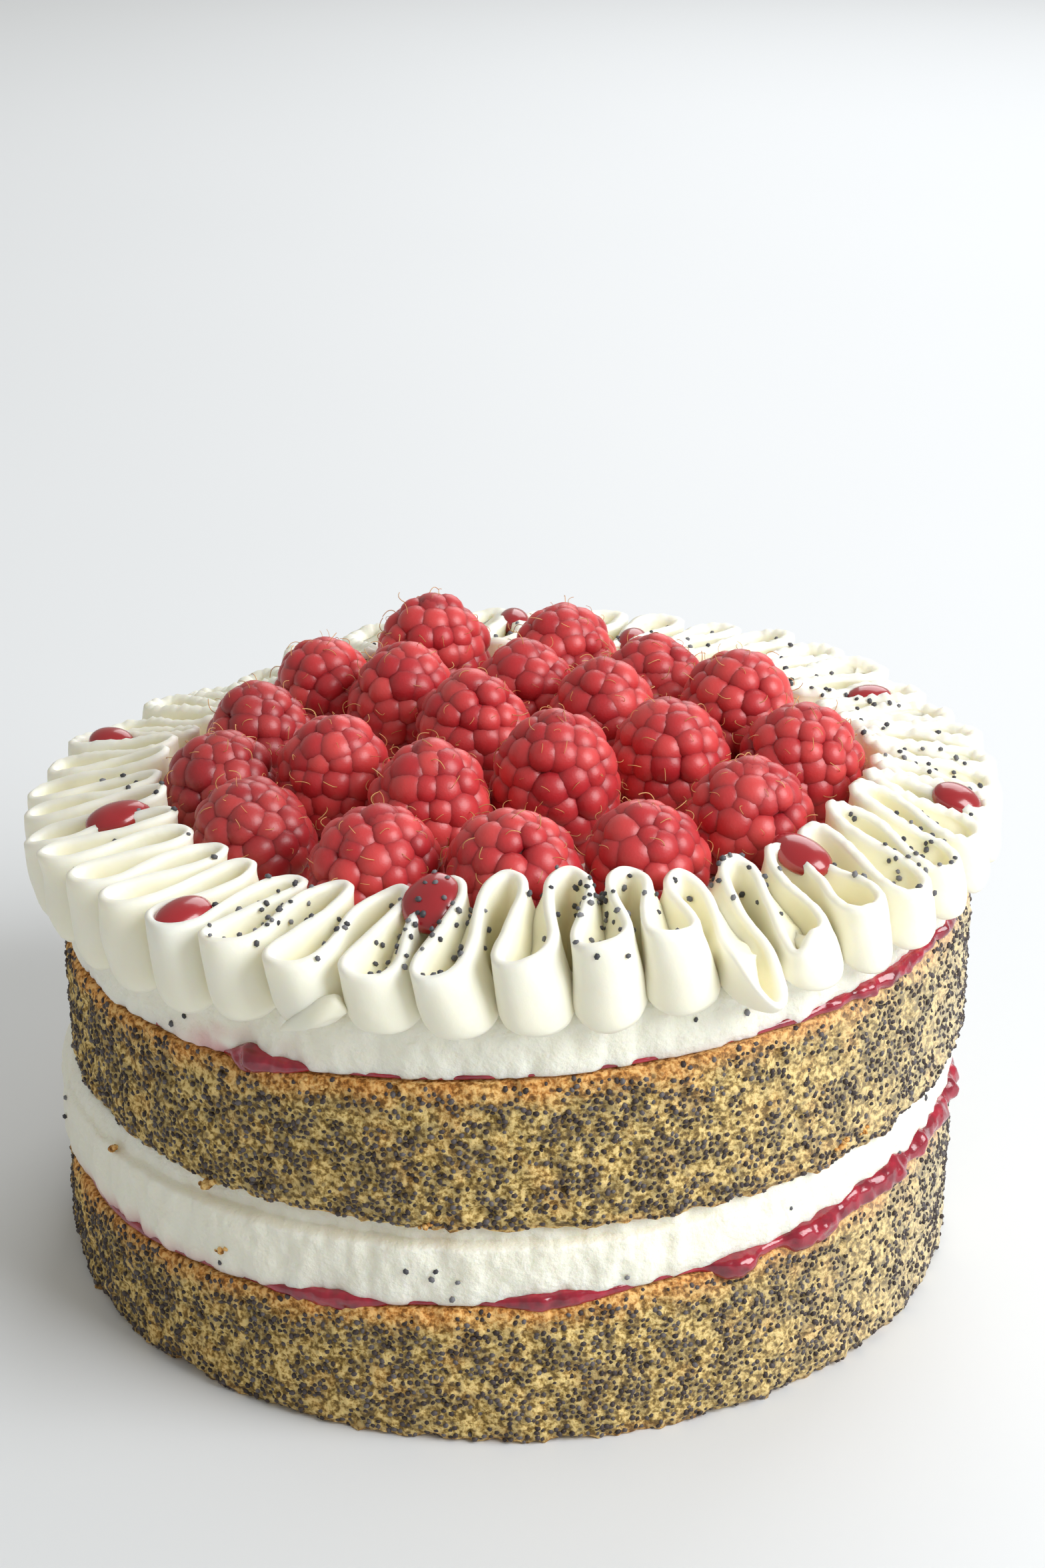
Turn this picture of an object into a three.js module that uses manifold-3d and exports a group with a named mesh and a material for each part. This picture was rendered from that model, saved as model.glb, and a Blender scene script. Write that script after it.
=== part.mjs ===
// Raspberry layer cake: two poppy seed sponges, jam, whipped cream, a pleated cream border and
// raspberries standing on top. Millimetres, +Z up, origin at the centre of the base on the surface
// that the cake rests on. The front of the cake faces -Y and its right side faces +X.
import * as THREE from 'three';
import { mergeVertices } from 'three/addons/utils/BufferGeometryUtils.js';
import Module from 'manifold-3d';

const wasm = await Module();
wasm.setup();

// Driving dimensions of the layers
const cakeRadius = 80;
const lowerShift = -1.4; // the lower half stands this far left of the upper half
const gap = 0.3; // between pieces that rest on each other
const jamThickness = 1.2;
const lowerSpongeTop = { height: 24.5, riseRight: 6, riseFront: 1.5 };
const lowerCreamTop = { height: 39.2, riseRight: 2, riseFront: 0.5 };
const upperSpongeTop = { height: 65, riseRight: 5.5, riseFront: 2 };
const upperCreamTop = { height: 79, riseRight: 4, riseFront: 1 };
const crumbRelief = 0.5; // how far the cut crumb stands in and out
const spongeSectors = 60;
const creamSectors = 48;
const jamSectors = 60;

// Driving dimensions of the pleated border
const pleatCount = 43;
const stepsPerPleat = 10;
const border = {
  outerFoot: 80.3, innerFoot: 65.5, outerEdge: 84.3, innerEdge: 62.4, edgeShift: 1.1,
  footThickness: 3.2, edgeThickness: 1.5,
  outerHeight: 87.6, outerRise: 1.2, innerHeight: 91.8, innerRise: 3.2,
};
const outerSwell = 0.21; // widens the outer loops at their upper edge, in pleats
const innerSwell = 0.16; // and the inner loops
const footSwell = 0.6; // share of that swelling left at the foot
const pleatPhase = THREE.MathUtils.degToRad(4.4); // direction of the first outer loop
const lipTurn = THREE.MathUtils.degToRad(-2.4); // how far the outer loops lean round the cake
const peakTurn = THREE.MathUtils.degToRad(0.8); // and the inner loops
// The one pleat that has flopped outwards: direction and half width in degrees, then how far it
// lies out and down
const flopped = { direction: -63, halfWidth: 7, outwards: 6, downwards: 10.5 };
const loopReachVariation = 0.6;
// Where the upper edge stands higher or lower: direction and half width in degrees, and height
const outerRises = [
  [-76, 26, 6], [-172, 28, -4.5], [40, 95, -4], [100, 50, -1.5], [128, 40, -7], [160, 36, -7],
  [46, 22, 2.4], [133, 14, -2.5],
];
const innerRises = [[-90, 32, 3.8], [35, 75, -8], [95, 50, -4], [142, 50, -5], [-46, 13, -2.2]];
const footRises = [[-66, 20, 3], [-98, 30, 2.3]]; // and where the outer loops' feet stand higher
const footSetBack = 3.6; // a foot stands as high as the cream is this much nearer the centre
const footLift = 0.5;
const creamEdgeInset = 4.2; // rounded top edge of the upper cream, inwards
const creamEdgeDrop = 5; // and downwards

// Driving dimensions of the toppings
const coulisDepth = 5;
const seedDiameter = 1.1;
const seedCount = 22;
const drupeletsAround = 9;
const drupeletRows = 4;
const drupeletRise = 1.6;

// Raspberries: place from the centre of the upper half, then width and height
const raspberries = [
  [-43.8, -26.4, 21.6, 16.8], [-22.9, -44.6, 21.4, 19.1], [-0.5, -49.1, 22.2, 19.5],
  [21.3, -44.3, 20.9, 18.0], [-51.8, -7.3, 19.4, 18.5], [-31.7, -9.4, 19.8, 21.9],
  [-14.4, -23.3, 20.2, 21.4], [6.3, -16.8, 22.2, 23.8], [26.9, -7.6, 20.8, 20.9],
  [38.5, -29.8, 20.8, 18.9], [48.2, -7.3, 21.2, 18.9], [-46.0, 12.7, 20.2, 19.4],
  [-20.3, 22.5, 20.8, 22.1], [-7.0, 6.0, 20.8, 22.6], [15.9, 10.9, 20.6, 22.0],
  [38.8, 12.3, 21.6, 21.7], [-35.3, 36.3, 19.6, 18.9], [-16.0, 47.3, 21.8, 22.8],
  [1.8, 25.8, 20.0, 20.1], [8.6, 45.3, 20.4, 20.0], [25.2, 29.5, 20.0, 18.6],
];

// Coulis drops on the border: number of the fold, with a half for one between two loops, distance
// from the centre, length, width, how many degrees the drop slopes down outwards, and how deep its
// middle sits below the edges of the walls that hold it
const coulisDrops = [
  [19, 78, 9, 7, 0, 0.8], [-20, 71, 11.5, 8, 12, 0.8], [-16, 80, 10.5, 8, 6, 0.8],
  [-12.5, 66.5, 12, 9, 30, 1.0], [-6, 66, 11, 8, 14, 0.6], [-2, 77, 9, 8.5, 18, 1.4],
  [3, 74, 9.5, 7, 0, 1.2], [8, 69, 9, 6, 0, 0.8], [10.5, 80, 9, 6, 0, 0.8],
];

// Colour and roughness of each kind of piece
const colours = {
  sponge: [0x8f7f4a, 0.95], jam: [0x8c1224, 0.2], cream: [0xf1edd8, 0.6], raspberry: [0xb3222f, 0.45],
};

// Seeded random numbers between 0 and 1
function seededRandom(seed) {
  let state = seed >>> 0;
  return () => {
    state = (state + 0x6d2b79f5) >>> 0;
    let t = Math.imul(state ^ (state >>> 15), 1 | state);
    t = (t + Math.imul(t ^ (t >>> 7), 61 | t)) ^ t;
    return ((t ^ (t >>> 14)) >>> 0) / 4294967296;
  };
}

function smooth(low, high, value) {
  return THREE.MathUtils.smoothstep(value, low, high);
}

// Height of a sloping level at a place on the cake
function levelAt(level, x, y) {
  return level.height + (level.riseRight * x - level.riseFront * y) / cakeRadius;
}

// Angle between two directions, in radians from 0 to pi
function apart(a, b) {
  const turn = Math.abs(a - b) % (2 * Math.PI);
  return Math.min(turn, 2 * Math.PI - turn);
}

function bump(angle, centreDegrees, halfWidthDegrees) {
  const away = apart(angle, THREE.MathUtils.degToRad(centreDegrees));
  return 1 - smooth(0, THREE.MathUtils.degToRad(halfWidthDegrees), away);
}

// Closed geometry from vertex and triangle lists
function closedGeometry(vertices, triangles) {
  const geometry = new THREE.BufferGeometry();
  geometry.setAttribute('position', new THREE.Float32BufferAttribute(vertices.flat(), 3));
  geometry.setIndex(triangles.flat());
  return geometry;
}

// Solid of revolution whose section changes on the way round. sectionAt gives points [radius, z]
// from the upper edge, down the outside, to the lower edge; the two ends are closed by flat fans.
function roundSolid(sectors, centreX, topCentre, bottomCentre, sectionAt) {
  const vertices = [];
  const triangles = [];
  const first = sectionAt(0);
  for (let s = 0; s < sectors; s += 1) {
    const angle = (2 * Math.PI * s) / sectors;
    for (const [radius, z] of sectionAt(angle)) {
      vertices.push([centreX + radius * Math.cos(angle), radius * Math.sin(angle), z]);
    }
  }
  const count = first.length;
  const top = vertices.push([centreX, 0, topCentre]) - 1;
  const bottom = vertices.push([centreX, 0, bottomCentre]) - 1;
  for (let s = 0; s < sectors; s += 1) {
    const here = s * count;
    const next = ((s + 1) % sectors) * count;
    for (let p = 0; p < count - 1; p += 1) {
      triangles.push([here + p, here + p + 1, next + p + 1], [here + p, next + p + 1, next + p]);
    }
    triangles.push([top, here, next], [bottom, next + count - 1, here + count - 1]);
  }
  return closedGeometry(vertices, triangles);
}

// Point on a layer's wall: its place in the plan, given a radius and an angle
function around(centreX, radius, angle) {
  return [centreX + radius * Math.cos(angle), radius * Math.sin(angle)];
}

// Sponge: a drum between two levels with cut, crumbly sides. A level below of null is the flat base.
function spongeGeometry(centreX, below, above, seed) {
  const random = seededRandom(seed);
  const rowShares = [1, 0.66, 0.3, 0];
  const bottomAt = (x, y) => (below === null ? 0 : levelAt(below, x, y) + gap);
  return roundSolid(spongeSectors, centreX, levelAt(above, centreX, 0), bottomAt(centreX, 0), (angle) => {
    return rowShares.map((share) => {
      const edge = share === 1 || share === 0 ? 0.4 : 0;
      const radius = cakeRadius - edge + crumbRelief * (2 * random() - 1);
      const [x, y] = around(centreX, radius, angle);
      return [radius, bottomAt(x, y) + share * (levelAt(above, x, y) - bottomAt(x, y))];
    });
  });
}

// Jam: a thin sheet over a sponge that runs over the edge in thick drips where reach is above 0
function jamGeometry(centreX, below, reachAt, dripAt) {
  const sheetInner = cakeRadius + crumbRelief;
  const bottomOf = (x, y) => levelAt(below, x, y) + gap;
  const middle = bottomOf(centreX, 0);
  return roundSolid(jamSectors, centreX, middle + jamThickness, middle, (angle) => {
    const reach = reachAt(angle);
    const outer = cakeRadius + 0.2 + 2.4 * reach;
    const [x, y] = around(centreX, outer, angle);
    const bottom = bottomOf(x, y);
    const drip = reach > 0.95 ? dripAt(angle) : 0;
    const skirt = Math.max(outer - 1.1, reach > 0.95 ? sheetInner + 0.7 : 0);
    return [
      [outer - 0.5, bottom + jamThickness], [outer, bottom - drip],
      [skirt, bottom - drip], [skirt - 0.4, bottom],
    ];
  });
}

// Cream: a spread layer between two levels, bulging or drawn in as bulgeAt says
function creamGeometry(centreX, below, belowClearance, above, edge, bulgeAt, seed) {
  const random = seededRandom(seed);
  const bottomOf = (x, y) => levelAt(below, x, y) + belowClearance;
  const topMiddle = levelAt(above, centreX, 0);
  return roundSolid(creamSectors, centreX, topMiddle, bottomOf(centreX, 0), (angle) => {
    const side = cakeRadius - 0.6 + bulgeAt(angle);
    const point = (radius, heightOf) => [radius, heightOf(...around(centreX, radius, angle))];
    const blend = (share) => (x, y) => {
      return bottomOf(x, y) * (1 - share) + (levelAt(above, x, y) - edge.drop) * share;
    };
    return [
      point(side - edge.inset, (x, y) => levelAt(above, x, y)),
      point(side + 0.3 * random(), blend(1)),
      point(side + 0.7 * random(), blend(0.45)),
      point(side - 0.7, bottomOf),
    ];
  });
}

// Height of the upper cream's rounded edge, the surface that the border is piped on
function creamSurface(radius, angle) {
  const [x, y] = around(0, radius, angle);
  const edgeStart = cakeRadius - 0.6 - creamEdgeInset;
  const fall = Math.max(0, radius - edgeStart) * (creamEdgeDrop / creamEdgeInset);
  return levelAt(upperCreamTop, x, y) - fall;
}

// Each loop of the border is a little different: seeded offsets for its reach, height and place
function loopVariation(seed) {
  const random = seededRandom(seed);
  return Array.from({ length: pleatCount }, () => ({
    reach: 2 * random() - 1, height: 2 * random() - 1, turn: 2 * random() - 1,
  }));
}
const outerLoops = loopVariation(11);
const innerLoops = loopVariation(29);
const pleatPitch = (2 * Math.PI) / pleatCount;

// One point along the border's ribbon, at a level from 0 at its foot to 1 at its upper edge
function ribbonPoint(place, level) {
  const outward = (1 + Math.cos(2 * Math.PI * place)) / 2;
  const outer = outerLoops[((Math.round(place) % pleatCount) + pleatCount) % pleatCount];
  const inner = innerLoops[((Math.floor(place) % pleatCount) + pleatCount) % pleatCount];
  const turn = 0.05 * level * (outward * outer.turn + (1 - outward) * inner.turn);
  const edgeSwell = THREE.MathUtils.lerp(innerSwell, outerSwell, outward);
  const swell = edgeSwell * THREE.MathUtils.lerp(footSwell, 1, level) * Math.sin(4 * Math.PI * place);
  const lean = level * THREE.MathUtils.lerp(peakTurn, lipTurn, outward);
  const angle = pleatPitch * (place + turn + swell) + pleatPhase + lean;
  const flop = level * outward * bump(angle, flopped.direction, flopped.halfWidth);
  const shiftedEdge = border.outerEdge - border.edgeShift * Math.cos(angle);
  const edgeRadius = shiftedEdge + loopReachVariation * outer.reach;
  const innerRadiusAtEdge = border.innerEdge + loopReachVariation * inner.reach;
  const outerRadius = THREE.MathUtils.lerp(border.outerFoot, edgeRadius, level);
  const innerRadius = THREE.MathUtils.lerp(border.innerFoot, innerRadiusAtEdge, level);
  const radius = THREE.MathUtils.lerp(innerRadius, outerRadius, outward) + flopped.outwards * flop;
  return { angle, radius, outward, outer, inner, flop };
}

// Sum of the rises and dips of a list at an angle
function risen(angle, rises) {
  return rises.reduce((sum, [direction, halfWidth, height]) => {
    return sum + height * bump(angle, direction, halfWidth);
  }, 0);
}

// Upper edge of the border: high loops in front, low ones at the back and at the far left
function ribbonEdgeHeight(point) {
  const { angle, outward, outer, inner, flop } = point;
  const outerLevel = border.outerHeight + border.outerRise * Math.cos(angle);
  const outerHeight = outerLevel + outer.height + risen(angle, outerRises);
  const innerLevel = border.innerHeight + border.innerRise * Math.cos(angle);
  const innerHeight = innerLevel + inner.height + risen(angle, innerRises);
  return THREE.MathUtils.lerp(innerHeight, outerHeight, outward) - flopped.downwards * flop;
}

// The pleated border is one closed ribbon of cream that zigzags all the way round
function ribbonGeometry() {
  const steps = pleatCount * stepsPerPleat;
  const vertices = [];
  const triangles = [];
  for (let s = 0; s < steps; s += 1) {
    const place = (s + 0.5) / stepsPerPleat;
    for (const [level, thickness] of [[0, border.footThickness], [1, border.edgeThickness]]) {
      const here = ribbonPoint(place, level);
      const before = ribbonPoint(place - 0.02, level);
      const after = ribbonPoint(place + 0.02, level);
      const along = new THREE.Vector2(...around(0, after.radius, after.angle));
      along.sub(new THREE.Vector2(...around(0, before.radius, before.angle))).normalize();
      const [x, y] = around(0, here.radius, here.angle);
      for (const side of [-0.5, 0.5]) {
        const px = x - along.y * thickness * side;
        const py = y + along.x * thickness * side;
        const standing = creamSurface(Math.hypot(px, py) - footSetBack, here.angle) + footLift;
        const foot = standing + here.outward * risen(here.angle, footRises);
        vertices.push([px, py, level === 0 ? foot : ribbonEdgeHeight(here)]);
      }
    }
  }
  const ring = [2, 3, 1, 0];
  for (let s = 0; s < steps; s += 1) {
    const here = s * 4;
    const next = ((s + 1) % steps) * 4;
    for (let p = 0; p < 4; p += 1) {
      const a = ring[p];
      const b = ring[(p + 1) % 4];
      triangles.push([here + a, next + a, next + b], [here + a, next + b, here + b]);
    }
  }
  return closedGeometry(vertices, triangles);
}

// manifold-3d solid from a closed geometry, and back
function toSolid(geometry) {
  const bare = geometry.clone();
  bare.deleteAttribute('normal');
  bare.deleteAttribute('uv');
  const merged = mergeVertices(bare, 1e-4);
  const vertProperties = new Float32Array(merged.attributes.position.array);
  const triVerts = new Uint32Array(merged.index.array);
  return new wasm.Manifold(new wasm.Mesh({ numProp: 3, vertProperties, triVerts }));
}

function toGeometry(solid) {
  const mesh = solid.getMesh();
  const geometry = new THREE.BufferGeometry();
  geometry.setAttribute('position', new THREE.BufferAttribute(mesh.vertProperties, 3));
  geometry.setIndex(new THREE.BufferAttribute(mesh.triVerts, 1));
  return geometry;
}

// Coulis drop: a flattened bead lying in a fold, proud of the walls that hold it
function coulisGeometry([fold, distance, length, width, slope, sink]) {
  const share = (distance - border.innerEdge) / (border.outerEdge - border.innerEdge);
  const wall = Math.floor(fold) + Math.acos(2 * share - 1) / (2 * Math.PI);
  const angle = fold * pleatPitch + pleatPhase + THREE.MathUtils.lerp(peakTurn, lipTurn, share);
  const [x, y] = around(0, distance, angle);
  const edge = ribbonEdgeHeight(ribbonPoint(wall, 1));
  const tilt = THREE.MathUtils.degToRad(slope);
  const bead = new THREE.SphereGeometry(0.5, 8, 5);
  bead.rotateX(Math.PI / 2);
  bead.scale(length, width, coulisDepth);
  bead.rotateY(tilt);
  bead.rotateZ(angle);
  bead.translate(x, y, edge - sink);
  return bead;
}

// Poppy seed half sunk in the border's upper edge
function seedGeometry(place) {
  const point = ribbonPoint(place, 1);
  const [x, y] = around(0, point.radius, point.angle);
  const seed = new THREE.IcosahedronGeometry(seedDiameter / 2, 0);
  seed.translate(x, y, ribbonEdgeHeight(point) + 0.1);
  return seed;
}

function borderGeometry() {
  const random = seededRandom(47);
  let solid = toSolid(ribbonGeometry());
  for (const drop of coulisDrops) {
    solid = solid.add(toSolid(coulisGeometry(drop)));
  }
  for (let s = 0; s < seedCount; s += 1) {
    const place = (pleatCount * (s + 0.8 * random())) / seedCount;
    solid = solid.add(toSolid(seedGeometry(place)));
  }
  return toGeometry(solid);
}

// Raspberry: rows of staggered drupelets, each one a raised cell between six shared valley points
function raspberryGeometry(width, height, seed) {
  const random = seededRandom(seed);
  const leanAngle = 2 * Math.PI * random();
  const lean = 1.2 * random();
  const turn = 2 * Math.PI * random();
  const halfStep = Math.PI / drupeletsAround;
  const tipShare = 0.92;
  const profile = (share) => {
    const rounded = Math.sin(Math.acos(Math.min(1, Math.max(0, share - 0.36) / 0.64)));
    return (width / 2 - drupeletRise) * rounded * (1 - 0.3 * (1 - smooth(0, 0.36, share)));
  };
  const vertex = (share, angle, rise) => {
    const radius = profile(share) + rise;
    const offset = lean * share * share;
    const x = radius * Math.cos(angle + turn) + offset * Math.cos(leanAngle);
    const y = radius * Math.sin(angle + turn) + offset * Math.sin(leanAngle);
    return [x, y, share * height];
  };
  const vertices = [];
  const triangles = [];
  const rowHeight = tipShare / drupeletRows;
  const around2 = 2 * drupeletsAround;
  // Valley rings: the points zigzag between the cells of the row below and of the row above
  for (let ring = 0; ring <= drupeletRows; ring += 1) {
    for (let k = 0; k < around2; k += 1) {
      const up = (k + ring) % 2 === 1;
      const inside = ring > 0 && ring < drupeletRows;
      const share = ring * rowHeight + (inside ? (up ? 0.3 : -0.3) * rowHeight : 0);
      vertices.push(vertex(share, k * halfStep, 0));
    }
  }
  for (let row = 0; row < drupeletRows; row += 1) {
    for (let j = 0; j < drupeletsAround; j += 1) {
      const k = 2 * j + (row % 2);
      const share = (row + 0.5) * rowHeight;
      const rise = drupeletRise * (0.8 + 0.4 * random());
      const centre = vertices.push(vertex(share, k * halfStep, rise)) - 1;
      const low = (step) => row * around2 + ((k + step + around2) % around2);
      const high = (step) => low(step) + around2;
      triangles.push([centre, low(-1), low(0)], [centre, low(0), low(1)], [centre, low(1), high(1)]);
      triangles.push([centre, high(1), high(0)], [centre, high(0), high(-1)], [centre, high(-1), low(-1)]);
    }
  }
  const base = vertices.push(vertex(0, 0, -profile(0))) - 1;
  const tip = vertices.push(vertex(1, 0, -profile(1))) - 1;
  for (let k = 0; k < around2; k += 1) {
    const next = (k + 1) % around2;
    const topRing = drupeletRows * around2;
    triangles.push([base, next, k], [tip, topRing + k, topRing + next]);
  }
  return closedGeometry(vertices, triangles);
}

function named(name, geometry, [colour, roughness]) {
  const shaded = geometry.clone();
  shaded.computeVertexNormals();
  const material = new THREE.MeshStandardMaterial({ color: colour, roughness, metalness: 0 });
  const mesh = new THREE.Mesh(shaded, material);
  mesh.name = name;
  return mesh;
}

// Jam runs over the edge at the right of the front
const lowerReach = (angle) => smooth(0.02, 0.6, bump(angle, -45, 42)) + 0.35 * bump(angle, -112, 14);
const upperReach = (angle) => smooth(0.02, 0.6, bump(angle, -48, 40)) + 0.5 * bump(angle, -127, 10);
const lowerDrip = (angle) => 2.6 + 1.8 * Math.sin(13 * angle) + 1.4 * Math.sin(29 * angle + 1);
const upperDrip = (angle) => 1.6 + 1.0 * Math.sin(11 * angle + 2) + 0.9 * Math.sin(31 * angle);

// The lower cream bulges at the left and is drawn in under the upper sponge in front
const lowerBulge = (angle) => 1.6 * bump(angle, 178, 40) - 1.3 * bump(angle, -85, 50);
const upperBulge = () => 0; // spread straight up

const cake = new THREE.Group();
const aboveJam = 2 * gap + jamThickness;
const plainEdge = { inset: 0.9, drop: 1 };
const pipedEdge = { inset: creamEdgeInset, drop: creamEdgeDrop };

const lowerSponge = spongeGeometry(lowerShift, null, lowerSpongeTop, 3);
const lowerJam = jamGeometry(lowerShift, lowerSpongeTop, lowerReach, lowerDrip);
const lowerCream = creamGeometry(
  lowerShift, lowerSpongeTop, aboveJam, lowerCreamTop, plainEdge, lowerBulge, 5,
);
const upperSponge = spongeGeometry(0, lowerCreamTop, upperSpongeTop, 7);
const upperJam = jamGeometry(0, upperSpongeTop, upperReach, upperDrip);
const upperCream = creamGeometry(
  0, upperSpongeTop, aboveJam, upperCreamTop, pipedEdge, upperBulge, 9,
);

cake.add(named('lower_sponge', lowerSponge, colours.sponge));
cake.add(named('lower_jam', lowerJam, colours.jam));
cake.add(named('lower_cream', lowerCream, colours.cream));
cake.add(named('upper_sponge', upperSponge, colours.sponge));
cake.add(named('upper_jam', upperJam, colours.jam));
cake.add(named('upper_cream', upperCream, colours.cream));
cake.add(named('piped_border', borderGeometry(), colours.cream));

raspberries.forEach(([x, y, width, height], index) => {
  const name = `raspberry_${String(index + 1).padStart(2, '0')}`;
  const mesh = named(name, raspberryGeometry(width, height, 100 + index), colours.raspberry);
  // Level berries clear the sloping cream by the gap at their highest edge
  mesh.position.set(x, y, levelAt(upperCreamTop, x, y) + gap + 0.4);
  cake.add(mesh);
});

export default cake;
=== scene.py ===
# %% [markdown]
# # Raspberry and poppy seed layer cake
# The cake is two drums of poppy seed sponge with jam and whipped cream between them, a border of
# cream piped in tight pleats, and raspberries standing inside it. The measured model holds every
# layer and berry as a plain solid. This lesson dresses each one in turn: crumb, seeds, cream, jam,
# pleats and berries, all at real size in metres and in the same place as the solids.

# %% Load the measured model
import itertools
import math

import bpy
import numpy as np
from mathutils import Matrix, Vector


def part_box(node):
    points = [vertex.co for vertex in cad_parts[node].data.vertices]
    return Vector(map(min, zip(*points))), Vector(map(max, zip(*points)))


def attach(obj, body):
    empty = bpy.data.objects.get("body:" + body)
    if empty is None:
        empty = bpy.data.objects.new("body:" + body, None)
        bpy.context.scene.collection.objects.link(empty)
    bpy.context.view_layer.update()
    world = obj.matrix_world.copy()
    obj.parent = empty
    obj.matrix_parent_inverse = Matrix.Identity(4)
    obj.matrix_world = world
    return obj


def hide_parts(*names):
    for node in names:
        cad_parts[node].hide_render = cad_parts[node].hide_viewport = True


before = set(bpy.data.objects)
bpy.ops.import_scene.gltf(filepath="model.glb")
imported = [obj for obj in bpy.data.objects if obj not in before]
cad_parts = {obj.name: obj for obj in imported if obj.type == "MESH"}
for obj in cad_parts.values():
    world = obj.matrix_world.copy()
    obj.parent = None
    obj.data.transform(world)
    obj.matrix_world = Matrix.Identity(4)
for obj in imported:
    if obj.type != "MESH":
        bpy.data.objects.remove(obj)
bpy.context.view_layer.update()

# %% [markdown]
# ## Sizes
# A few driving sizes fix everything. They repeat the solids' own sizes, so each dressed piece lies
# on its solid. The layers were stacked by hand and slope a little, so each joint between layers is
# a level with a height at the middle, a rise to the right and a rise to the front.

# %% Driving sizes
MM = 0.001
CAKE_RADIUS = 80 * MM
LOWER_SHIFT = -1.4 * MM
JAM_THICKNESS = 1.8 * MM
LOWER_SPONGE_TOP = (24.5 * MM, 6.0 * MM, 1.5 * MM)
LOWER_CREAM_TOP = (39.4 * MM, 2.0 * MM, 0.5 * MM)
UPPER_SPONGE_TOP = (65.0 * MM, 5.5 * MM, 2.0 * MM)
UPPER_CREAM_TOP = (79.0 * MM, 4.0 * MM, 1.0 * MM)
FLAT_BASE = (0.0, 0.0, 0.0)


def level_at(level, x, y):
    """Height of a sloping joint at a place on the cake."""
    height, rise_right, rise_front = level
    return height + (rise_right * x - rise_front * y) / CAKE_RADIUS


def raised(level, amount):
    """The same slope, higher by an amount."""
    return (level[0] + amount, level[1], level[2])


print("sponge", CAKE_RADIUS * 2, "m across, cream top at", UPPER_CREAM_TOP[0], "m")

# %% [markdown]
# ## Unevenness
# Cut crumb, spread cream and jam are all uneven, each at its own scale. One helper gives smooth
# random bumps of a chosen size. It hashes the corners of a grid of cells and blends between them,
# so the same place always gets the same bump and every run makes the same cake.

# %% Smooth random bumps
def bumps(points, cell, seed):
    """Random values from -1 to 1 at points, about one cell from bump to bump."""
    scaled = np.asarray(points, dtype=float) / cell
    corner = np.floor(scaled).astype(np.int64)
    share = scaled - corner
    share = share * share * (3 - 2 * share)
    total = np.zeros(len(scaled))
    for offset in itertools.product((0, 1), repeat=3):
        key = corner + np.array(offset)
        mixed = key[:, 0] * 374761393 + key[:, 1] * 668265263 + key[:, 2] * 974634777 + seed * 1274126177
        mixed = (mixed ^ (mixed >> 13)) & 0xFFFFFFFF
        mixed = (mixed * 1103515245 + 12345) & 0xFFFFFFFF
        mixed = (mixed ^ (mixed >> 16)) & 0xFFFFFFFF
        weight = np.prod(np.where(offset, share, 1 - share), axis=1)
        total += weight * (mixed / 0x7FFFFFFF - 1)
    return total


def layered_bumps(points, sizes, seed):
    """A sum of bumps. sizes is a list of (cell, height) pairs."""
    return sum(height * bumps(points, cell, seed + k) for k, (cell, height) in enumerate(sizes))


def hill(degrees, centre, width):
    """A smooth hill of height 1 over directions around the cake, all in degrees."""
    away = (degrees - centre + 180) % 360 - 180
    return np.exp(-((away / width) ** 2))


print("bumps at the origin:", round(float(bumps(np.zeros((1, 3)), 1.0, 3)[0]), 3))

# %% [markdown]
# ## Skins from rings
# Every layer is round, so its skin can be a stack of rings, each ring a list of points on the way
# round. Joining ring to ring gives clean rows of four-sided faces that are easy to shape with
# array maths. The first and last rings are closed by a fan. Places are given by a distance from the
# middle, an angle and a height, because the cake is round.

# %% Places around the cake
def turns(count):
    """Even angles once round."""
    return np.linspace(0, 2 * np.pi, count, endpoint=False)


def around(radius, angle, height, centre_x=0.0):
    """Points at a radius, an angle and a height about an upright line."""
    places = centre_x + radius * np.cos(angle), radius * np.sin(angle), height
    return np.stack(np.broadcast_arrays(*places), axis=-1)


def direction_of(points, centre_x=0.0):
    """Directions of points around the cake, in degrees."""
    return np.degrees(np.arctan2(points[:, 1], points[:, 0] - centre_x))


def unit_ball(rings, steps, gap):
    """A ball of radius 1 as rings from its top to its bottom, open by a small gap at its poles."""
    polar = np.linspace(gap, np.pi - gap, rings)[:, None]
    return around(np.sin(polar), turns(steps)[None, :], np.cos(polar))


print("a quarter turn:", around(CAKE_RADIUS, turns(4)[1], 0.0).round(4))

# %% Skin helper
def make_object(name, vertices, faces):
    """A mesh object at the origin with smooth shading."""
    mesh = bpy.data.meshes.new(name)
    mesh.from_pydata(vertices, [], faces)
    mesh.validate()
    mesh.shade_smooth()
    piece = bpy.data.objects.new(name, mesh)
    bpy.context.scene.collection.objects.link(piece)
    return piece


def ring_faces(rings, steps, closed=False):
    """Faces between neighbouring rings, anticlockwise from outside where rings run downwards."""
    ring = np.arange(rings if closed else rings - 1)[:, None]
    step = np.arange(steps)[None, :]
    below = (ring + 1) % rings
    beside = (step + 1) % steps
    corners = [ring * steps + step, below * steps + step, below * steps + beside, ring * steps + beside]
    return np.stack(np.broadcast_arrays(*corners), axis=-1).reshape(-1, 4)


def gather(name, shapes):
    """One mesh of closed shapes, each points[ring][step] from its top, over its side, to its bottom."""
    vertices, faces = [], []
    for shape in shapes:
        rings, steps, _ = shape.shape
        first = len(vertices)
        vertices += shape.reshape(-1, 3).tolist() + [shape[k].mean(axis=0).tolist() for k in (0, -1)]
        faces += (ring_faces(rings, steps) + first).tolist()
        top, last = first + rings * steps, first + (rings - 1) * steps
        for step in range(steps):
            beside = (step + 1) % steps
            faces += [[top, first + step, first + beside], [top + 1, last + beside, last + step]]
    return make_object(name, vertices, faces)


def skin(name, points):
    return gather(name, [points])


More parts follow.
